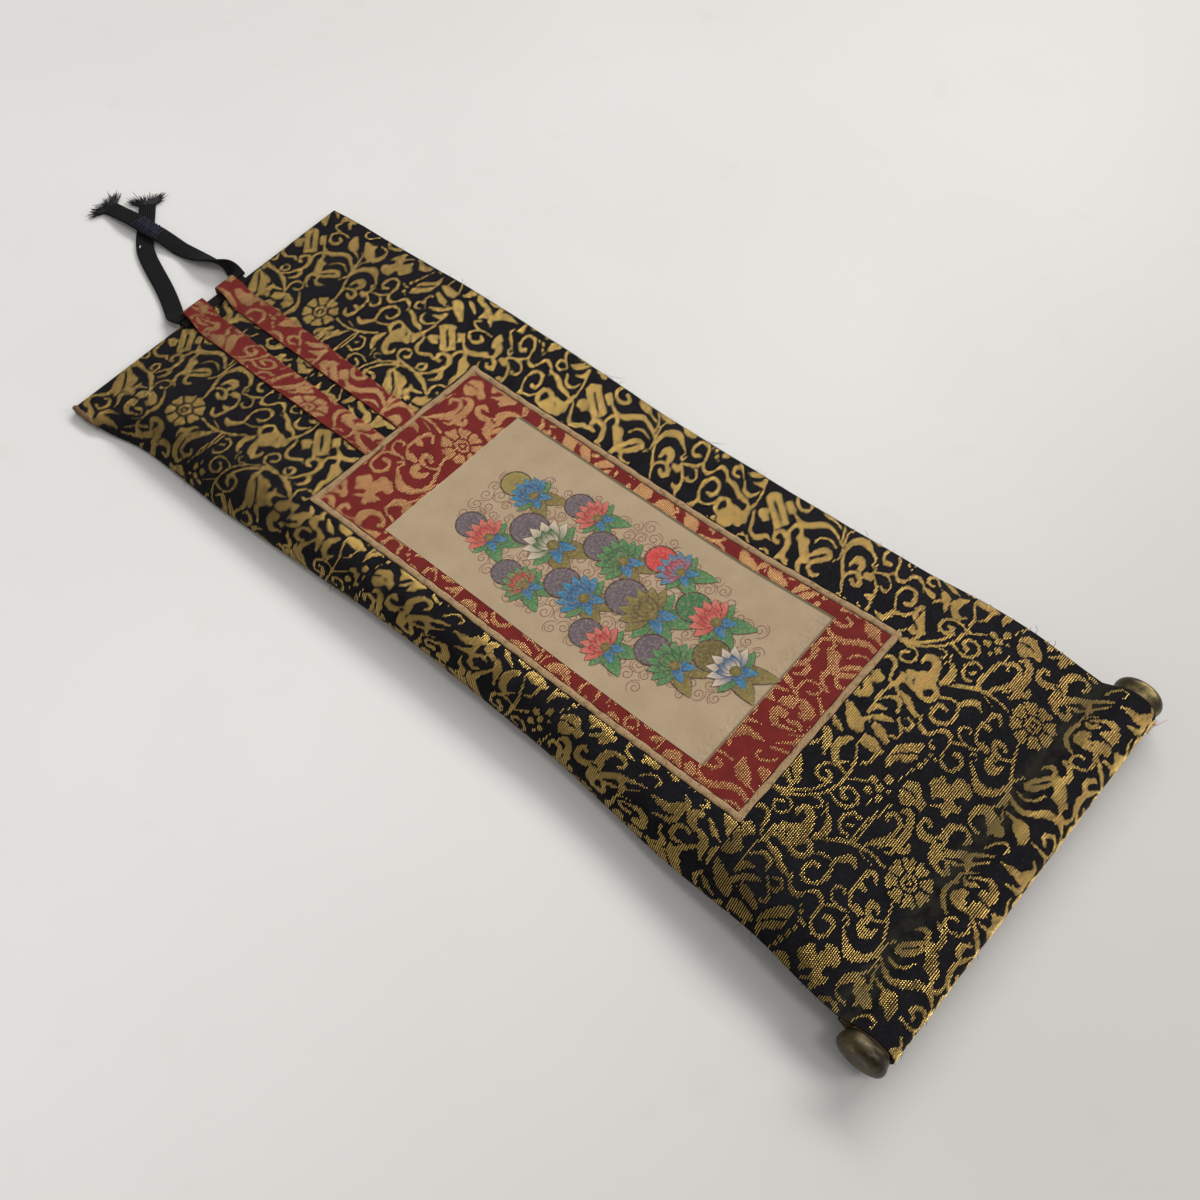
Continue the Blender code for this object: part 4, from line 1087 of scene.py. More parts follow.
def ribbon_patch(rows):
    """A ribbon's own surface: share across from 0 to 1, and along from behind the top edge."""
    share = np.linspace(0.0, 1.0, 17)
    top = float(cloth.at(0.0, 0.0)[2])
    along, points, normals = [], [], []
    for v, beyond, z, out_y, out_z in (
        (-5.6, 2.4, 0.02, 1.0, 0.0),
        (-2.6, 2.4, top + 0.3, 1.0, 0.0),
        (-1.6, 2.25, top + 1.25, 0.9, 0.4),
        (-0.8, 1.6, top + 2.0, 0.6, 0.8),
        (0.0, 0.8, top + 2.35, 0.3, 0.95),
    ):
        x = rows[0, 1] + (rows[0, 2] - rows[0, 1]) * share
        along.append(v)
        points.append(np.stack([x, 0 * x + TOP_Y + beyond, 0 * x + z], -1))
        normals.append(np.stack([0 * x, 0 * x + out_y, 0 * x + out_z], -1))
    for v in np.concatenate([stations(1.5, 8.0, 0.8), stations(9.0, 83.6, 1.2)]):
        left, right = (float(through(rows[:, 0], rows[:, side], v)) for side in (1, 2))
        lift = 0.42 + 1.3 * (1 - float(ease(3.6, 7.5, v)))
        lift -= 0.15 * float(ease(80.0, 83.6, v))
        u = left + (right - left) * share
        along.append(v)
        points.append(cloth.at(u, v, lift))
        normals.append(cloth.at(u, v, lift + 1.0) - points[-1])
    return Patch(share, np.array(along), np.array(points), np.array(normals))


def ribbon(name, rows, cut, node):
    """A red ribbon with its gilt, folded over the top edge and hanging down to the frame."""
    patch = ribbon_patch(rows)
    share = np.linspace(0.0, 1.0, 13)
    s, v = np.meshgrid(share, patch.along)
    worn = 0.10 * np.sin(v * 0.9 + s * 5.0) * (np.abs(s - 0.5) * 2) ** 3
    left = through(rows[:, 0], rows[:, 1], v)
    right = through(rows[:, 0], rows[:, 2], v)
    place = np.stack([left + (right - left) * s, v, 0 * v], -1)
    upper, lower = patch.at(s, v, worn), patch.at(s, v, worn - 0.4)
    piece = sheet_of(name, upper, lower, place, red_cloth, lining, "red_brocade")

    class OnRibbon:
        """The ribbon's surface, read by millimetres across in place of the share."""

        def at(self, across, along, lift):
            low = through(rows[:, 0], rows[:, 1], along)
            high = through(rows[:, 0], rows[:, 2], along)
            return patch.at((across - low) / (high - low), along, lift)

    def edges(at):
        return [float(through(rows[:, 0], rows[:, side], at)) for side in (1, 2)]

    shine = weave_gilt(name + "_gilt", OnRibbon(), edges, -5.0, 83.4, cut_from(cut), red_gilt,
                       "red_brocade", 0.35, grow=0.04)
    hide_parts(node)


def tube(points, radius, sides=5):
    """Points and faces of a thin tube along a line, drawn in to its ends."""
    line = np.asarray(points, float)
    ahead = unit(np.gradient(line, axis=0))
    side = unit(np.cross(ahead, (0.13, 0.21, 0.97)))
    up = np.cross(side, ahead)
    radius = np.broadcast_to(radius, len(line)).copy()
    angles = 2 * pi * np.arange(sides) / sides
    ring = np.cos(angles)[None, :, None] * side[:, None] + np.sin(angles)[None, :, None] * up[:, None]
    verts = (line[:, None] + ring * radius[:, None, None]).reshape(-1, 3)
    faces = []
    for i in range(len(line) - 1):
        for k in range(sides):
            a, b = i * sides + k, i * sides + (k + 1) % sides
            faces.append((a, b, b + sides, a + sides))
    faces.append(tuple(range(sides))[::-1])
    faces.append(tuple(range((len(line) - 1) * sides, len(line) * sides)))
    return verts, faces


def threads(name, lines, radius, material, slot, sides=5):
    """Loose threads, one tube for each line."""
    verts, faces = [], []
    start = 0
    for line in lines:
        more, quads = tube(line, radius, sides)
        verts.append(more)
        faces += [tuple(k + start for k in quad) for quad in quads]
        start += len(more)
    return link(name, np.concatenate(verts), faces, [material], slot=slot)


def leg_line(rows):
    """The smooth middle line of a leg of the tape and its roll, close together."""
    line = curve_points(np.column_stack([rows[:, 0], TOP_Y + rows[:, 1], rows[:, 2], rows[:, 3]]), 5)
    return line[:, :3], line[:, 3]


def tape_leg(name, rows, node):
    """A free leg of the tape: a ribbed flat band with a frayed end."""
    line, roll = leg_line(rows)
    ahead = np.gradient(line, axis=0)
    ahead[0] = (0.0, 1.0, 0.0)
    ahead = unit(ahead)
    side = unit(np.cross(ahead, (0.0, 0.0, 1.0)))
    up = np.cross(side, ahead)
    turn = np.radians(roll)[:, None]
    wide = np.cos(turn) * side + np.sin(turn) * up
    thick = np.cos(turn) * up - np.sin(turn) * side
    share = np.linspace(-1, 1, 31)
    round_edge = np.sqrt(1 - 0.93 * share**8)
    ribs = 0.07 * np.abs(np.sin(share * pi * 4.0))
    half = TAPE_THICK / 2 * round_edge - 0.07 + ribs
    steps = np.linalg.norm(np.diff(line, axis=0), axis=1)
    run = np.concatenate([[0], np.cumsum(steps)])
    reach = (TAPE_WIDTH / 2 * (0.62 + 0.38 * ease(0.0, 6.5, run)))[:, None, None]
    middle = line[:, None] + share[:, None] * wide[:, None] * reach
    over = middle + half[:, None] * thick[:, None]
    under = middle - half[:, None] * thick[:, None]
    place = np.stack(np.broadcast_arrays(share * TAPE_WIDTH / 2, run[:, None], 0.0), -1)
    piece = sheet_of(name, over, under, place, tape_cloth, tape_cloth, "tape")
    lines = []
    end, way, out = line[-1], ahead[-1], wide[-1]
    for _ in range(TUFT_THREADS):
        start = chance.uniform(-1, 1)
        fan = start * 0.85 + chance.normal(0, 0.25)
        long = chance.uniform(2.2, 5.6)
        t = np.linspace(0, 1, 6)[:, None]
        heading = unit(way + out * fan)
        bend = out * (start * 0.9 + chance.normal(0, 0.6)) * t**2
        strand = end - way * 0.6 + out * start * TAPE_WIDTH / 2 * 0.92 + heading * long * t + bend
        height = end[2] + chance.uniform(-0.35, 0.5)
        height = height + chance.normal(0, 0.5) * t[:, 0] ** 2
        strand[:, 2] = np.maximum(height, 0.12)
        lines.append(strand)
    taper = np.array([0.15, 0.15, 0.13, 0.12, 0.09, 0.04])
    fray = threads(name + "_fray", lines, taper, tape_thread, "tape", 4)
    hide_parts(node)
    exit_point = tuple(line[0] * MM)
    return piece, fray, exit_point, float(run[-1]) * MM, [tuple(p) for p in line * MM]


def place_camera():
    """The camera at the photograph's angle."""
    data = bpy.data.cameras.new("photo_camera")
    data.sensor_width = FILM_WIDTH
    data.lens = FOCAL_PIXELS / PHOTO_PIXELS * FILM_WIDTH
    data.clip_start = 0.01
    data.clip_end = 20.0
    camera = bpy.data.objects.new("photo_camera", data)
    right = (0.65746, -0.751468, -0.055157)
    down = (-0.661022, -0.540094, -0.52091)
    forward = (0.361658, 0.378937, -0.851827)
    place = (-0.123327, (TOP_Y - 281.863) * MM, 0.283336)
    rows = [(right[i], -down[i], -forward[i], place[i]) for i in range(3)]
    camera.matrix_world = Matrix(rows + [(0, 0, 0, 1)])
    bpy.context.scene.collection.objects.link(camera)
    bpy.context.scene.camera = camera


def hang_tape():
    """The tape's held stretch and its two free legs, sewn together where they cross."""
    left, left_fray, left_exit, left_long, left_path = tape_leg("tape_left", LEFT_LEG, "tape_leg_left")
    leg = tape_leg("tape_right", RIGHT_LEG, "tape_leg_right")
    right, right_fray, right_exit, right_long, right_path = leg
    sewing = []
    for k, beyond in enumerate(np.linspace(35.0, 44.6, 18)):
        x = 9.1 + 0.35 * (-1) ** k + chance.normal(0, 0.15)
        span = np.linspace(-1, 1, 7)[:, None]
        reach = 2.1 + chance.uniform(-0.3, 0.3)
        heading = np.array((reach, 0.45 * (-1) ** k + chance.normal(0, 0.12), 0.0))
        stitch = np.array((x, TOP_Y + beyond, 2.46 + 0.05 * (k % 3))) + span * heading
        stitch[:, 2] -= 0.22 * span[:, 0] ** 4
        sewing.append(stitch)
    stitches = threads("crossing_stitches", sewing, 0.24, navy_thread, "tape", 6)
    caught = np.array(((2.2, 36.2, 1.15), (2.6, 36.4, 1.3), (2.9, 36.7, 1.15))) + (0.0, TOP_Y, 0.0)
    speck = threads("thread_end", [caught], 0.16, pale_thread, "tape")
    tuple(left_exit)
    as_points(left_path)
    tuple(right_exit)
    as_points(right_path)
    share = np.linspace(0.0, 1.0, 33)
    path = curve_points((
        (2.9, -2.9, 0.65),
        (1.4, -1.4, 0.75),
        (0.2, -0.2, 0.8),
        (-0.7, 0.75, -0.1),
        (-1.0, 1.15, -1.1),
        (-0.8, 1.0, -1.8),
    ), 4)
    across = stations(-10.5, 13.4, 1.0)
    inward = np.interp(share, np.linspace(0, 1, len(path)), path[:, 1])
    above = np.interp(share, np.linspace(0, 1, len(path)), path[:, 2])
    edge = cloth.at(across, 0.0)
    ribs = 0.07 * np.abs(np.sin(share * pi * 7))
    x = np.repeat(edge[None, :, 0], len(share), 0)
    y = np.repeat(TOP_Y + inward[:, None], len(across), 1)
    points = np.stack([x, y, edge[None, :, 2] + above[:, None]], -1)
    out = unit(np.stack([0 * share, -np.gradient(above), np.gradient(inward)], -1))[:, None]
    place = np.stack(np.broadcast_arrays(share[:, None] * TAPE_WIDTH, across[None, :], 0.0), -1)
    over, under = points + (0.12 + ribs)[:, None, None] * out, points - 0.4 * out
    held = sheet_of("tape_across_hem", over, under, place, tape_cloth, tape_cloth, "tape")
    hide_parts("tape_held")


def top_with_hem():
    """The brocade above the frame, turned under at the top edge and pasted down as a hem."""
    across = stations(-WIDTH / 2, WIDTH / 2, ACROSS_STEP)
    upper, normals, along = [], [], []
    level = np.zeros_like(across)
    edge = cloth.at(across, 0.0)
    high = edge[:, 2].mean()
    for v, beyond, z, out_y, out_z in (
        (-9.0, -7.0, 0.02, 0.0, -1.0),
        (-4.0, -3.0, 0.02, 0.0, -1.0),
        (-2.2, -1.0, 0.02, 0.0, -1.0),
        (-1.6, -0.45, 0.16, 0.6, -0.8),
        (-1.1, -0.1, 0.6, 0.95, -0.3),
        (-0.7, 0.0, high / 2, 1.0, 0.0),
        (-0.3, -0.08, high - 0.55, 0.95, 0.3),
        (0.1, -0.38, high - 0.14, 0.7, 0.7),
    ):
        along.append(v)
        upper.append(np.stack([edge[:, 0], level + TOP_Y + beyond, level + z], -1))
        normals.append(np.stack([level, level + out_y, level + out_z], -1))
    for v in np.concatenate([stations(0.9, 8.0, 1.0), stations(9.2, FRAME_TOP, ALONG_STEP)]):
        along.append(v)
        upper.append(cloth.at(across, v))
        normals.append(cloth.at(across, v, 1.0) - upper[-1])
    upper, normals = np.array(upper), unit(np.array(normals))
    u, v = np.meshgrid(across, np.array(along))
    place = np.stack([u, v, 0 * u], -1)
    lower = upper - PANEL_THICK * normals
    return sheet_of("brocade_top", upper, lower, place, black_cloth, lining, "brocade")


def hem_filling():
    """The folded layers of lining that show brown at the corner of the hem."""
    made = []
    layers = ((0.62, -50.5, 49.6, 6.4), (1.02, -50.2, 49.9, 6.8))
    for k, (low, left, right, deep) in enumerate(layers):
        u, v = np.meshgrid(stations(left, right, 2.0), stations(0.7 + 0.2 * k, deep, 1.0))
        base = cloth.at(u, v)
        over, under = base.copy(), base.copy()
        over[..., 2] = low + 0.34
        under[..., 2] = low
        place = np.stack([u, v, 0 * u], -1)
        made.append(sheet_of("hem_layer_%d" % (k + 1), over, under, place, lining, lining, "paper"))
    share, v = np.meshgrid(np.linspace(0, 1, 5), stations(0.2, 11.0, 0.5))
    wide = 1.25 * (1 - ease(6.5, 11.0, v)) + 0.12
    u = -50.42 + share * wide + 0.10 * np.sin(v * 2.1)
    place = np.stack([u, v, 0 * u], -1)
    crown = 0.05 + 0.26 * np.sin(pi * share) + 0.05 * np.sin(v * 3.3)
    over, under = cloth.at(u, v, crown), cloth.at(u, v, -0.9)
    made.append(sheet_of("corner_turning", over, under, place, worn_lining, lining, "paper"))
    return made


def bent_hair(start, reach, sag=0.25):
    """A loose fibre from its root, bowed and ending at `reach` from it."""
    t = np.linspace(0, 1, 7)[:, None]
    bow = np.cross(unit(np.array(reach, float)), (0.2, 0.3, 0.93)) * sag * np.sin(pi * t)
    line = np.array(start, float) + np.array(reach, float) * t + bow
    line[:, 2] = np.maximum(line[:, 2], 0.08)
    return line


# x along the roll, how many fibres, how long
ROLL_TUFTS = (
    (-38.0, 12, 1.3),
    (-19.5, 4, 2.6),
    (41.0, 8, 1.0),
    (24.0, 4, 0.8),
    (-30.0, 4, 0.7),
    (4.0, 4, 0.7),
)
# across, along, and the reach of the long fibres at the edges
EDGE_FIBRES = (
    (49.9, 111.5, (2.4, -6.2, 0.4)),
    (49.9, 116.5, (1.8, -1.6, 0.6)),
    (49.9, 147.5, (2.6, -5.6, 0.5)),
    (49.9, 163.0, (1.5, -2.4, 0.3)),
    (49.9, 199.0, (1.2, 1.5, 0.5)),
    (-49.9, 236.0, (-2.6, 0.8, -0.4)),
    (-49.9, 238.5, (-1.6, -1.4, -0.2)),
    (-49.9, 45.0, (-1.4, -2.0, 0.0)),
    (-49.9, 101.0, (-1.6, -1.0, -0.6)),
    (49.9, 57.0, (1.2, 0.9, 0.5)),
    (49.9, 246.0, (1.8, 1.2, 0.6)),
    (49.9, 251.0, (1.4, 0.6, 0.8)),
)


def loose_fibres():
    """Raw threads at the roll's ends and along the edges, where the cloth has frayed."""
    roll_y, roll_z = TOP_Y - CREASE_RUN - ROLL_BEHIND_CREASE, ROLL_RADIUS

    def on_roll(x, degrees):
        """A place on the roll's outside, `degrees` up from its middle."""
        turn = radians(degrees)
        far = ROLL_RADIUS + 0.05
        return np.array((x, roll_y - x * sin(ROLL_YAW) - far * cos(turn), roll_z + far * sin(turn)))

    raw, dark = [], []
    for _ in range(70):
        start = on_roll(chance.uniform(46.8, 50.0), chance.uniform(-52, 2))
        reach = np.array((chance.normal(0.9, 0.5), chance.normal(-0.5, 0.35), chance.normal(-0.25, 0.4)))
        raw.append(bent_hair(start, reach * chance.uniform(0.6, 1.7), chance.normal(0, 0.2)))
    raw.append(bent_hair(on_roll(49.2, -15), (3.4, -2.4, 1.1), 0.35))
    for _ in range(26):
        start = on_roll(chance.uniform(-49.6, -44.5), chance.uniform(-60, -12))
        reach = np.array((chance.normal(0, 0.4), chance.normal(-0.7, 0.3), chance.normal(-0.4, 0.3)))
        (raw if chance.random() < 0.3 else dark).append(bent_hair(start, reach, chance.normal(0, 0.15)))
    for x, count, long in ROLL_TUFTS:
        for _ in range(count):
            reach = np.array((chance.normal(-0.3, 0.3), -0.5 + chance.normal(0, 0.2), -0.75))
            reach = reach * long * chance.uniform(0.6, 1.2)
            start = on_roll(x + chance.normal(0, 0.35), chance.uniform(-45, -20))
            dark.append(bent_hair(start, reach, chance.normal(0, 0.3)))
    for u, v, reach in EDGE_FIBRES:
        dark.append(bent_hair(cloth.at(u, v, -0.2), reach, 0.5))
    for _ in range(120):
        side = 1 if chance.random() < 0.5 else -1
        v = chance.uniform(3.0, 258.0)
        reach = (side * chance.uniform(0.3, 1.0), chance.normal(0, 0.5), chance.normal(0.1, 0.3))
        start = cloth.at(side * 49.95, v, chance.uniform(-0.5, 0.0))
        dark.append(bent_hair(start, reach, chance.normal(0, 0.15)))
    taper = np.array([0.055, 0.055, 0.05, 0.045, 0.04, 0.035, 0.02])
    pink = threads("raw_threads", raw, taper * 1.3, raw_thread, "brocade", 4)
    return [pink, threads("stray_fibres", dark, taper, dark_thread, "brocade", 4)]


def edging_strip(name, left, right, top, bottom, node):
    """One tan strip with rounded long edges."""
    tall = bottom - top > right - left
    across = np.linspace(left, right, 7) if tall else stations(left, right, ACROSS_STEP)
    along = stations(top, bottom, ACROSS_STEP) if tall else np.linspace(top, bottom, 7)
    u, v = np.meshgrid(across, along)
    share = (u - left) / (right - left) if tall else (v - top) / (bottom - top)
    wave = 0.10 * np.sin(u * 0.8 + v * 1.1) + 0.07 * np.sin((u + v) * 0.31 + 1.0)
    side = wave * (1 - np.abs(2 * share - 1) * 0.2)
    shrink = (0.5 - share) * 0.34
    u2, v2 = (u + side + shrink, v) if tall else (u, v + side + shrink)
    crown = EDGING_LIFT * (1 - np.abs(2 * share - 1) ** 4) + 0.02
    place = np.stack([u, v, 0 * u], -1)
    over, under = cloth.at(u2, v2, crown), cloth.at(u2, v2, -0.25)
    made = sheet_of(name, over, under, place, edging, lining, "edging")
    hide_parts(node)
    return made


class Painting:
    """Flat printed shapes, each a small grid on the paper with its own colours."""

    def __init__(self):
        self.points, self.faces, self.colours = [], [], []
        self.count = 0
        self.layer = 0

    def grid(self, across, along, colour, above=0.0):
        """Adds a grid of points, a little above the layers before it."""
        lift = 0.02 + 0.0006 * (self.layer + above)
        rows, columns = across.shape
        self.points.append(np.stack([across, along, 0 * across + lift], -1).reshape(-1, 3))
        self.colours.append(np.broadcast_to(colour, (rows, columns, 3)).reshape(-1, 3))
        self.faces.append(grid_faces(rows, columns, self.count, bool(self.turns(across, along))))
        self.count += rows * columns

    def turns(self, across, along):
        """True when the grid's faces would look down."""
        a = (across[0, 1] - across[0, 0]) * (along[1, 0] - along[0, 0])
        b = (along[0, 1] - along[0, 0]) * (across[1, 0] - across[0, 0])
        return a - b < 0

    def petal(self, x, y, angle, long, wide, root, tip, hook):
        """A pointed, inked petal from its root, `angle` in degrees clockwise from up."""
        s, t = np.meshgrid(np.linspace(-1, 1, 7), np.linspace(0.0, 1.0, 10))
        half = wide / 2 * np.sin(pi * np.clip(t, 0.02, 0.985) ** 0.85) ** 0.8
        turn = radians(angle) + hook * t
        out_x, out_y = np.sin(turn), -np.cos(turn)
        across = x + out_x * t * long - out_y * s * half
        along = y + out_y * t * long + out_x * s * half
        mix = ease(0.1, 0.95, t)[..., None]
        self.layer += 1
        self.grid(across, along, np.array(root) * (1 - mix) + np.array(tip) * mix)
        for k in (0, -1):
            self.line(np.stack([across[:, k], along[:, k]], -1), 0.19, INK)
        self.line(np.stack([across[1:-2, 3], along[1:-2, 3]], -1), 0.10, INK)

    def disc(self, x, y, radius, middle, rim, inner=0.0):
        """A round patch, or a ring where `inner` is more than 0."""
        angle, share = np.meshgrid(np.linspace(0, 2 * pi, 33), np.linspace(inner, 1.0, 5))
        across = x + radius * share * np.cos(angle)
        along = y + radius * share * np.sin(angle)
        mix = ((share - inner) / max(1e-6, 1 - inner))[..., None]
        self.layer += 1
        self.grid(across, along, np.array(middle) * (1 - mix) + np.array(rim) * mix)

    def line(self, row, width, colour):
        """A brush line, thinner at its ends."""
        ends = 0.35
        ahead = unit(np.gradient(row, axis=0))
        side = np.stack([-ahead[:, 1], ahead[:, 0]], -1)
        t = np.linspace(0, 1, len(row))
        half = width / 2 * (ends + (1 - ends) * np.sin(pi * t) ** 0.5)
        across = row[:, 0, None] + side[:, 0, None] * half[:, None] * np.array((-1, 1))
        along = row[:, 1, None] + side[:, 1, None] * half[:, None] * np.array((-1, 1))
        self.grid(across, along, np.array(colour), 0.5)

    def piece(self, name, material):
        """All the grids as one piece, laid on the paper."""
        points, faces = np.concatenate(self.points), np.concatenate(self.faces)
        laid = cloth.at(points[:, 0], points[:, 1], points[:, 2] + PAPER_LIFT)
        made = link(name, laid, faces, [material], points, slot="paper", angle=180.0)
        wash = made.data.attributes.new("wash", "FLOAT_COLOR", "POINT")
        opaque = np.ones((len(points), 1))
        colours = np.concatenate([np.concatenate(self.colours), opaque], 1)
        wash.data.foreach_set("color", colours.ravel())
        return made


GREEN = (0.028, 0.105, 0.038)
PALE_GREEN = (0.06, 0.19, 0.065)
RED = (0.40, 0.030, 0.030)
ROSE = (0.50, 0.12, 0.09)
BLUE = (0.012, 0.085, 0.20)
SKY = (0.025, 0.17, 0.29)
OLIVE = (0.090, 0.070, 0.016)
OCHRE = (0.19, 0.145, 0.035)
DUSK = (0.085, 0.066, 0.080)
CREAM = (0.50, 0.41, 0.31)
CLOUD_LINE = (0.20, 0.085, 0.060)
INK = (0.055, 0.035, 0.028)
# The bank of clouds: the place of its middle, and half its width and height.
BANK_ACROSS, BANK_ALONG = -2.4, 158.5
BANK_WIDE, BANK_TALL = 19.3, 45.0
# across, along, size, petals' root and tip colours, colour of the leaf disc behind
LOTUSES = (
    (-11.0, 123.5, 12.0, RED, ROSE, DUSK),
    (6.0, 123.0, 12.0, BLUE, SKY, OCHRE),
    (-2.5, 136.5, 15.0, GREEN, CREAM, DUSK),
    (-16.0, 140.5, 11.5, RED, PALE_GREEN, DUSK),
    (11.0, 140.5, 11.5, RED, ROSE, DUSK),
    (-9.5, 153.5, 13.5, BLUE, SKY, DUSK),
    (5.0, 153.5, 13.5, GREEN, PALE_GREEN, DUSK),
    (-16.5, 167.0, 12.0, RED, ROSE, DUSK),
    (-2.5, 168.5, 15.5, OLIVE, OCHRE, DUSK),
    (11.5, 167.0, 12.0, RED, SKY, RED),
    (-10.0, 182.5, 13.0, GREEN, PALE_GREEN, DUSK),
    (5.5, 182.5, 13.0, RED, ROSE, GREEN),
    (-2.5, 194.5, 13.5, BLUE, CREAM, OLIVE),
)


def paint_scroll(painting, x, y, size, way, start):
    """One curl of a cloud: a line that winds in, and a second one outside its back."""
    turn = start + way * np.linspace(0.0, 8.2, 18)
    reach = size * np.linspace(1.0, 0.22, 18)
    curl = np.stack([x + reach * np.cos(turn), y + 0.9 * reach * np.sin(turn)], -1)
    painting.line(curl, 0.28, CLOUD_LINE)
    turn = start - way * np.linspace(-1.4, 1.5, 8)
    back = np.stack([x + 1.32 * size * np.cos(turn), y + 1.2 * size * np.sin(turn)], -1)
    painting.line(back, 0.25, CLOUD_LINE)


def paint_clouds(painting):
    """A bank of curled clouds that fills the middle of the paper behind the flowers."""
    for row, y in enumerate(np.arange(113.5, 204.5, 3.3)):
        for x in np.arange(-22.5, 19.0, 3.8):
            x0, y0 = x + 1.9 * (row % 2) + chance.normal(0, 0.35), y + chance.normal(0, 0.35)
            wavy = 1 + 0.07 * sin(y0 / 3.1) + 0.05 * sin(x0 / 2.2 + y0 / 5.0)
            beside, below = (x0 - BANK_ACROSS) / BANK_WIDE, (y0 - BANK_ALONG) / BANK_TALL
            if beside**2 + abs(below) ** 2.8 > wavy:
                continue
            way = 1 if chance.random() < 0.5 else -1
            paint_scroll(painting, x0, y0, chance.uniform(1.25, 1.8), way, chance.uniform(0, 6.3))


def paint_lotus(painting, x, y, size, root, tip, disc):
    """A lotus flower on its leaf disc, with two leaves under it."""
    def petals(angles, drop, long, wide, inner, outer, hook=0.0):
        for angle in angles:
            bend = hook if angle < 0 else -hook
            painting.petal(x, y + drop * size, angle, long * size, wide * size, inner, outer, bend)

    leaf, edge = (OLIVE, OCHRE) if root in (GREEN, BLUE) else (GREEN, PALE_GREEN)
    petals((166,), 0.16, 0.92, 0.36, leaf, edge, 0.1)
    petals((-162,), 0.16, 0.86, 0.36, leaf, edge, 0.1)
    painting.disc(x, y - 0.22 * size, 0.34 * size, disc, [c * 1.3 for c in disc])
    painting.disc(x, y - 0.22 * size, 0.35 * size, INK, INK, 0.9)
    petals((-118, 118), 0.28, 0.52, 0.24, GREEN, PALE_GREEN, 0.4)
    petals((-150, 150), 0.30, 0.40, 0.20, BLUE, SKY)
    petals((-78, 78, -52, 52, -27, 27, 0), 0.28, 0.50, 0.23, root, tip)
    petals((-38, 38, -13, 13), 0.32, 0.36, 0.20, tip, root)
    painting.disc(x, y + 0.30 * size, 0.11 * size, OCHRE, OLIVE)


def print_picture():
    """A plain pattern of lotus flowers and clouds, printed in the picture's colours."""
    painting = Painting()
    paint_clouds(painting)
    for lotus in LOTUSES:
        paint_lotus(painting, *lotus)
    return painting.piece("lotus_print", printed)


def lathe(name, profile, flip, node):
    """A brass cap turned from (x, radius) points about the roller's line."""
    sides = 96
    profile = np.array(profile, float)
    angles = 2 * pi * np.arange(sides) / sides
    dent = 1 + 0.006 * np.sin(angles * 2 + 0.6) + 0.004 * np.sin(angles * 5 + profile[:, :1] * 0.9)
    ring = profile[:, 1:2] * dent
    x = np.repeat(profile[:, :1], sides, 1) * (-1 if flip else 1)
    y0, z0 = TOP_Y - CREASE_RUN - ROLL_BEHIND_CREASE, ROLL_RADIUS
    y, z = ring * np.cos(angles), ring * np.sin(angles)
    turned_x = x * cos(ROLL_YAW) + y * sin(ROLL_YAW)
    turned_y = y0 - x * sin(ROLL_YAW) + y * cos(ROLL_YAW)
    points = np.stack([turned_x, turned_y, z0 + z], -1)
    points[..., 2] = np.maximum(points[..., 2], 0.0)
    faces = []
    for i in range(len(profile) - 1):
        for k in range(sides):
            a, b = i * sides + k, i * sides + (k + 1) % sides
            quad = (a, b, b + sides, a + sides)
            faces.append(quad if flip else quad[::-1])
    made = link(name, points.reshape(-1, 3), faces, [brass], slot="brass", angle=60.0)
    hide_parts(node)


# Distance from the cap's mouth, and radius.
CAP_OUTSIDE = (
    (0.0, 5.24),
    (0.4, 5.36),
    (1.0, 5.50),
    (1.7, 5.74),
    (2.4, 5.84),
    (3.0, 5.74),
    (3.6, 5.36),
    (4.0, 4.7),
    (4.2, 3.9),
    (4.28, 2.8),
    (4.3, 1.4),
    (4.3, 0.02),
)
CAP_INSIDE = ((3.3, 0.02), (3.3, 4.8), (0.0, 4.85), (0.0, 5.2))


def brass_caps():
    """The two cups on the dowel's ends."""
    mouth = (CAP_START, 0.0)
    outside = curve_points(np.array(CAP_OUTSIDE) + mouth, 4)
    profile = np.vstack([np.array(CAP_INSIDE) + mouth, outside])
    lathe("cap_right_brass", profile, False, "cap_right")
    lathe("cap_left_brass", profile, True, "cap_left")


def light_room():
    """A pale room: a wide soft window beyond the right edge, and two smaller ones beyond the roller."""
    world = bpy.data.worlds.new("pale_room")
    bpy.context.scene.world = world
    world.use_nodes = True
    background = world.node_tree.nodes["Background"]
    background.inputs[0].default_value = (0.91, 0.905, 0.90, 1.0)
    background.inputs[1].default_value = ROOM_LIGHT
    for name, place, wide, tall, power, colour in (
        ("window", (2.75, 0.44, 2.0), 3.75, 0.8, 104.0, (1.0, 0.99, 0.965)),
        ("side_window", (1.35, -2.2, 1.56), 0.9, 0.9, 25.0, (1.0, 0.98, 0.94)),
        ("low_window", (0.16, -0.95, 1.66), 0.4, 0.4, 5.0, (1.0, 0.98, 0.94)),
    ):
        data = bpy.data.lights.new(name, "AREA")
        data.shape = "RECTANGLE"
        data.size = wide
        data.size_y = tall
        data.energy = power
        data.color = colour
        lamp = bpy.data.objects.new(name, data)
        bpy.context.scene.collection.objects.link(lamp)
        lamp.matrix_world = Matrix.Translation(place) @ facing(place)


def facing(place):
    """The turn that points a lamp at the scroll from its place, its long side level."""
    z = unit(np.asarray(place, float))
    x = unit(np.cross((0.0, 0.0, 1.0), z))
    y = np.cross(z, x)
    return Matrix([(x[i], y[i], z[i], 0.0) for i in range(3)] + [(0, 0, 0, 1)])


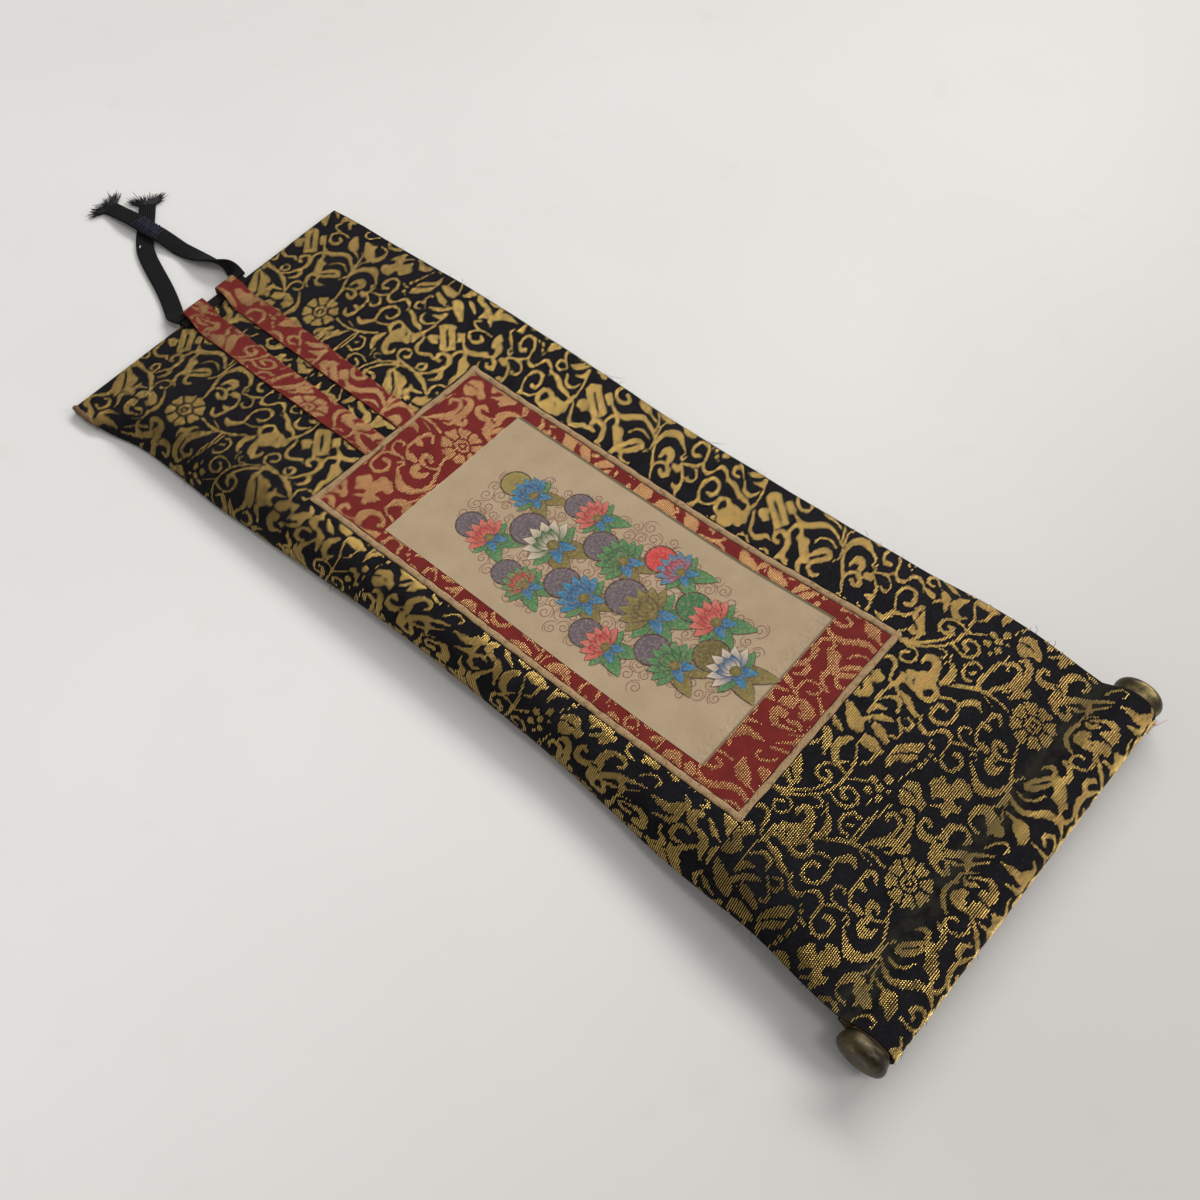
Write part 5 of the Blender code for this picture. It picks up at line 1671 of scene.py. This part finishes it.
def lay_table():
    """The table, its top a little below the cloth's lowest point."""
    mesh = bpy.data.meshes.new("table_top")
    half = 3.0
    corners = [(-half, -half, 0), (half, -half, 0), (half, half, 0), (-half, half, 0)]
    mesh.from_pydata(corners, [], [(0, 1, 2, 3)])
    mesh.materials.append(table_top())
    table = bpy.data.objects.new("table_top", mesh)
    table.location.z = -TABLE_DROP
    bpy.context.scene.collection.objects.link(table)


tape_cloth = tape_weave()
tape_thread = thread_fibre("tape_fibre", (0.006, 0.006, 0.008), (0.022, 0.022, 0.026))
navy_thread = thread_fibre("navy_thread", (0.0045, 0.005, 0.014), (0.012, 0.013, 0.035))
pale_thread = thread_fibre("pale_thread", (0.5, 0.5, 0.48), (0.7, 0.7, 0.68))
place_camera()
hang_tape()

black_cloth = black_ground()
red_cloth = red_ground()
black_gilt = gilt("dull_gilt", (0.44, 0.285, 0.080), (0.86, 0.59, 0.175), 0.95)
red_gilt = gilt("red_cloth_gilt", (0.35, 0.19, 0.065), (0.62, 0.37, 0.13), 0.6)
edging = edging_cloth()
paper = plain_paper()
lining = backing_paper("lining_paper", (0.30, 0.20, 0.11), (0.42, 0.30, 0.18), (0.18, 0.11, 0.055))
worn_dark, worn_light = (0.085, 0.047, 0.026), (0.16, 0.095, 0.052)
worn_lining = backing_paper("worn_lining", worn_dark, worn_light, (0.03, 0.018, 0.012))
printed = paint_wash()
brass = tarnished_brass()
raw_thread = thread_fibre("raw_thread", (0.30, 0.13, 0.06), (0.50, 0.27, 0.15))
dark_thread = thread_fibre("dark_thread", (0.02, 0.017, 0.015), (0.06, 0.05, 0.04))

repeat = chart_repeat()


def mount_cloth():
    """Every brocade panel, red band, edging strip and the picture paper."""
    half = WIDTH / 2
    left, right, top, bottom = FRAME_LEFT, FRAME_RIGHT, FRAME_TOP, FRAME_BOTTOM
    in_left, in_right = left + EDGING, right - EDGING
    in_top, in_bottom = top + EDGING, bottom - EDGING
    head = top_with_hem()
    layers = hem_filling()
    edges = whole_width(-half, half)
    shine = weave_gilt("brocade_top_gilt", cloth, edges, 0.6, top - 0.1, top_cut, black_gilt,
                       "brocade", 0.24, high=0.08, grow=-0.04)
    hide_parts("top_panel")
    foot_rows = cloth.along[cloth.along > CREASE + 0.1]
    along = np.concatenate([stations(bottom, CREASE, 1.2), foot_rows[::2], foot_rows[-1:]])
    u, v = np.meshgrid(stations(-half, half, ACROSS_STEP), along)
    place = np.stack([u, v, 0 * u], -1)
    over, under = cloth.at(u, v), cloth.at(u, v, -PANEL_THICK)
    foot = sheet_of("brocade_bottom", over, under, place, black_cloth, lining, "brocade")
    shine = weave_gilt("brocade_bottom_gilt", cloth, edges, bottom + 0.1, ROLL_END - 1.0,
                       cut_from("bottom"), black_gilt, "brocade", 0.23)
    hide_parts("bottom_panel")
    flat = (0.100, (ROLL_END - bottom) * MM)
    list(loose_fibres())
    strips = {
        "edging_strip_top": (left, right, top, in_top, "edging_top"),
        "edging_strip_bottom": (left, right, in_bottom, bottom, "edging_bottom"),
        "edging_strip_left": (left, in_left, top, bottom, "edging_left"),
        "edging_strip_right": (in_right, right, top, bottom, "edging_right"),
    }
    made = {name: edging_strip(name, *cut) for name, cut in strips.items()}
    cloths = {"brocade": (black_cloth, black_gilt), "red_brocade": (red_cloth, red_gilt)}
    sides = (PICTURE_TOP, PICTURE_BOTTOM)
    for name, (x0, x1), (y0, y1), slot, cut, node, width, others in (
        ("brocade_side_left", (-half, left), (top, bottom), "brocade", "side_left",
         "side_strip_left", 0.31, [made["edging_strip_left"]]),
        ("brocade_side_right", (right, half), (top, bottom), "brocade", "side_right",
         "side_strip_right", 0.24, [made["edging_strip_right"]]),
        ("red_band_top", (in_left, in_right), (in_top, PICTURE_TOP), "red_brocade", "band_top",
         "band_top", 0.29, [made["edging_strip_top"]]),
        ("red_band_bottom", (in_left, in_right), (PICTURE_BOTTOM, in_bottom), "red_brocade", "band_bottom",
         "band_bottom", 0.26, [made["edging_strip_bottom"]]),
        ("red_band_left", (in_left, PICTURE_LEFT), sides, "red_brocade", "band_left",
         "band_left", 0.30, []),
        ("red_band_right", (PICTURE_RIGHT, in_right), sides, "red_brocade", "band_right",
         "band_right", 0.32, []),
    ):
        ground, gold = cloths[slot]
        piece = panel(name, x0, x1, y0, y1, ground, lining, slot)
        shine = weave_gilt(name + "_gilt", cloth, whole_width(x0, x1), y0, y1, cut_from(cut), gold,
                           slot, width, grow=-0.02)
        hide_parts(node)
        wide, long = (x1 - x0) * MM, (y1 - y0) * MM
        flat = (max(wide, LEAST_WIDTH), long)
        wide * long
        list(others)
    paper_across = (PICTURE_LEFT - PAPER_OVERLAP, PICTURE_RIGHT + PAPER_OVERLAP)
    paper_along = (PICTURE_TOP - PAPER_OVERLAP, PICTURE_BOTTOM + PAPER_OVERLAP)
    sheet = panel("picture_sheet", *paper_across, *paper_along, paper, lining, "paper",
                  PAPER_LIFT, PAPER_THICK)
    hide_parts("picture_paper")
    design = print_picture()


mount_cloth()
ribbon("red_ribbon_left", LEFT_RIBBON, "ribbon_left", "ribbon_left")
ribbon("red_ribbon_right", RIGHT_RIBBON, "ribbon_right", "ribbon_right")
brass_caps()
for slot_of_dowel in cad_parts["dowel"].material_slots:
    slot_of_dowel.material = dowel_wood()
light_room()
lay_table()
bpy.context.scene.view_settings.view_transform = "Standard"

bpy.context.view_layer.update()
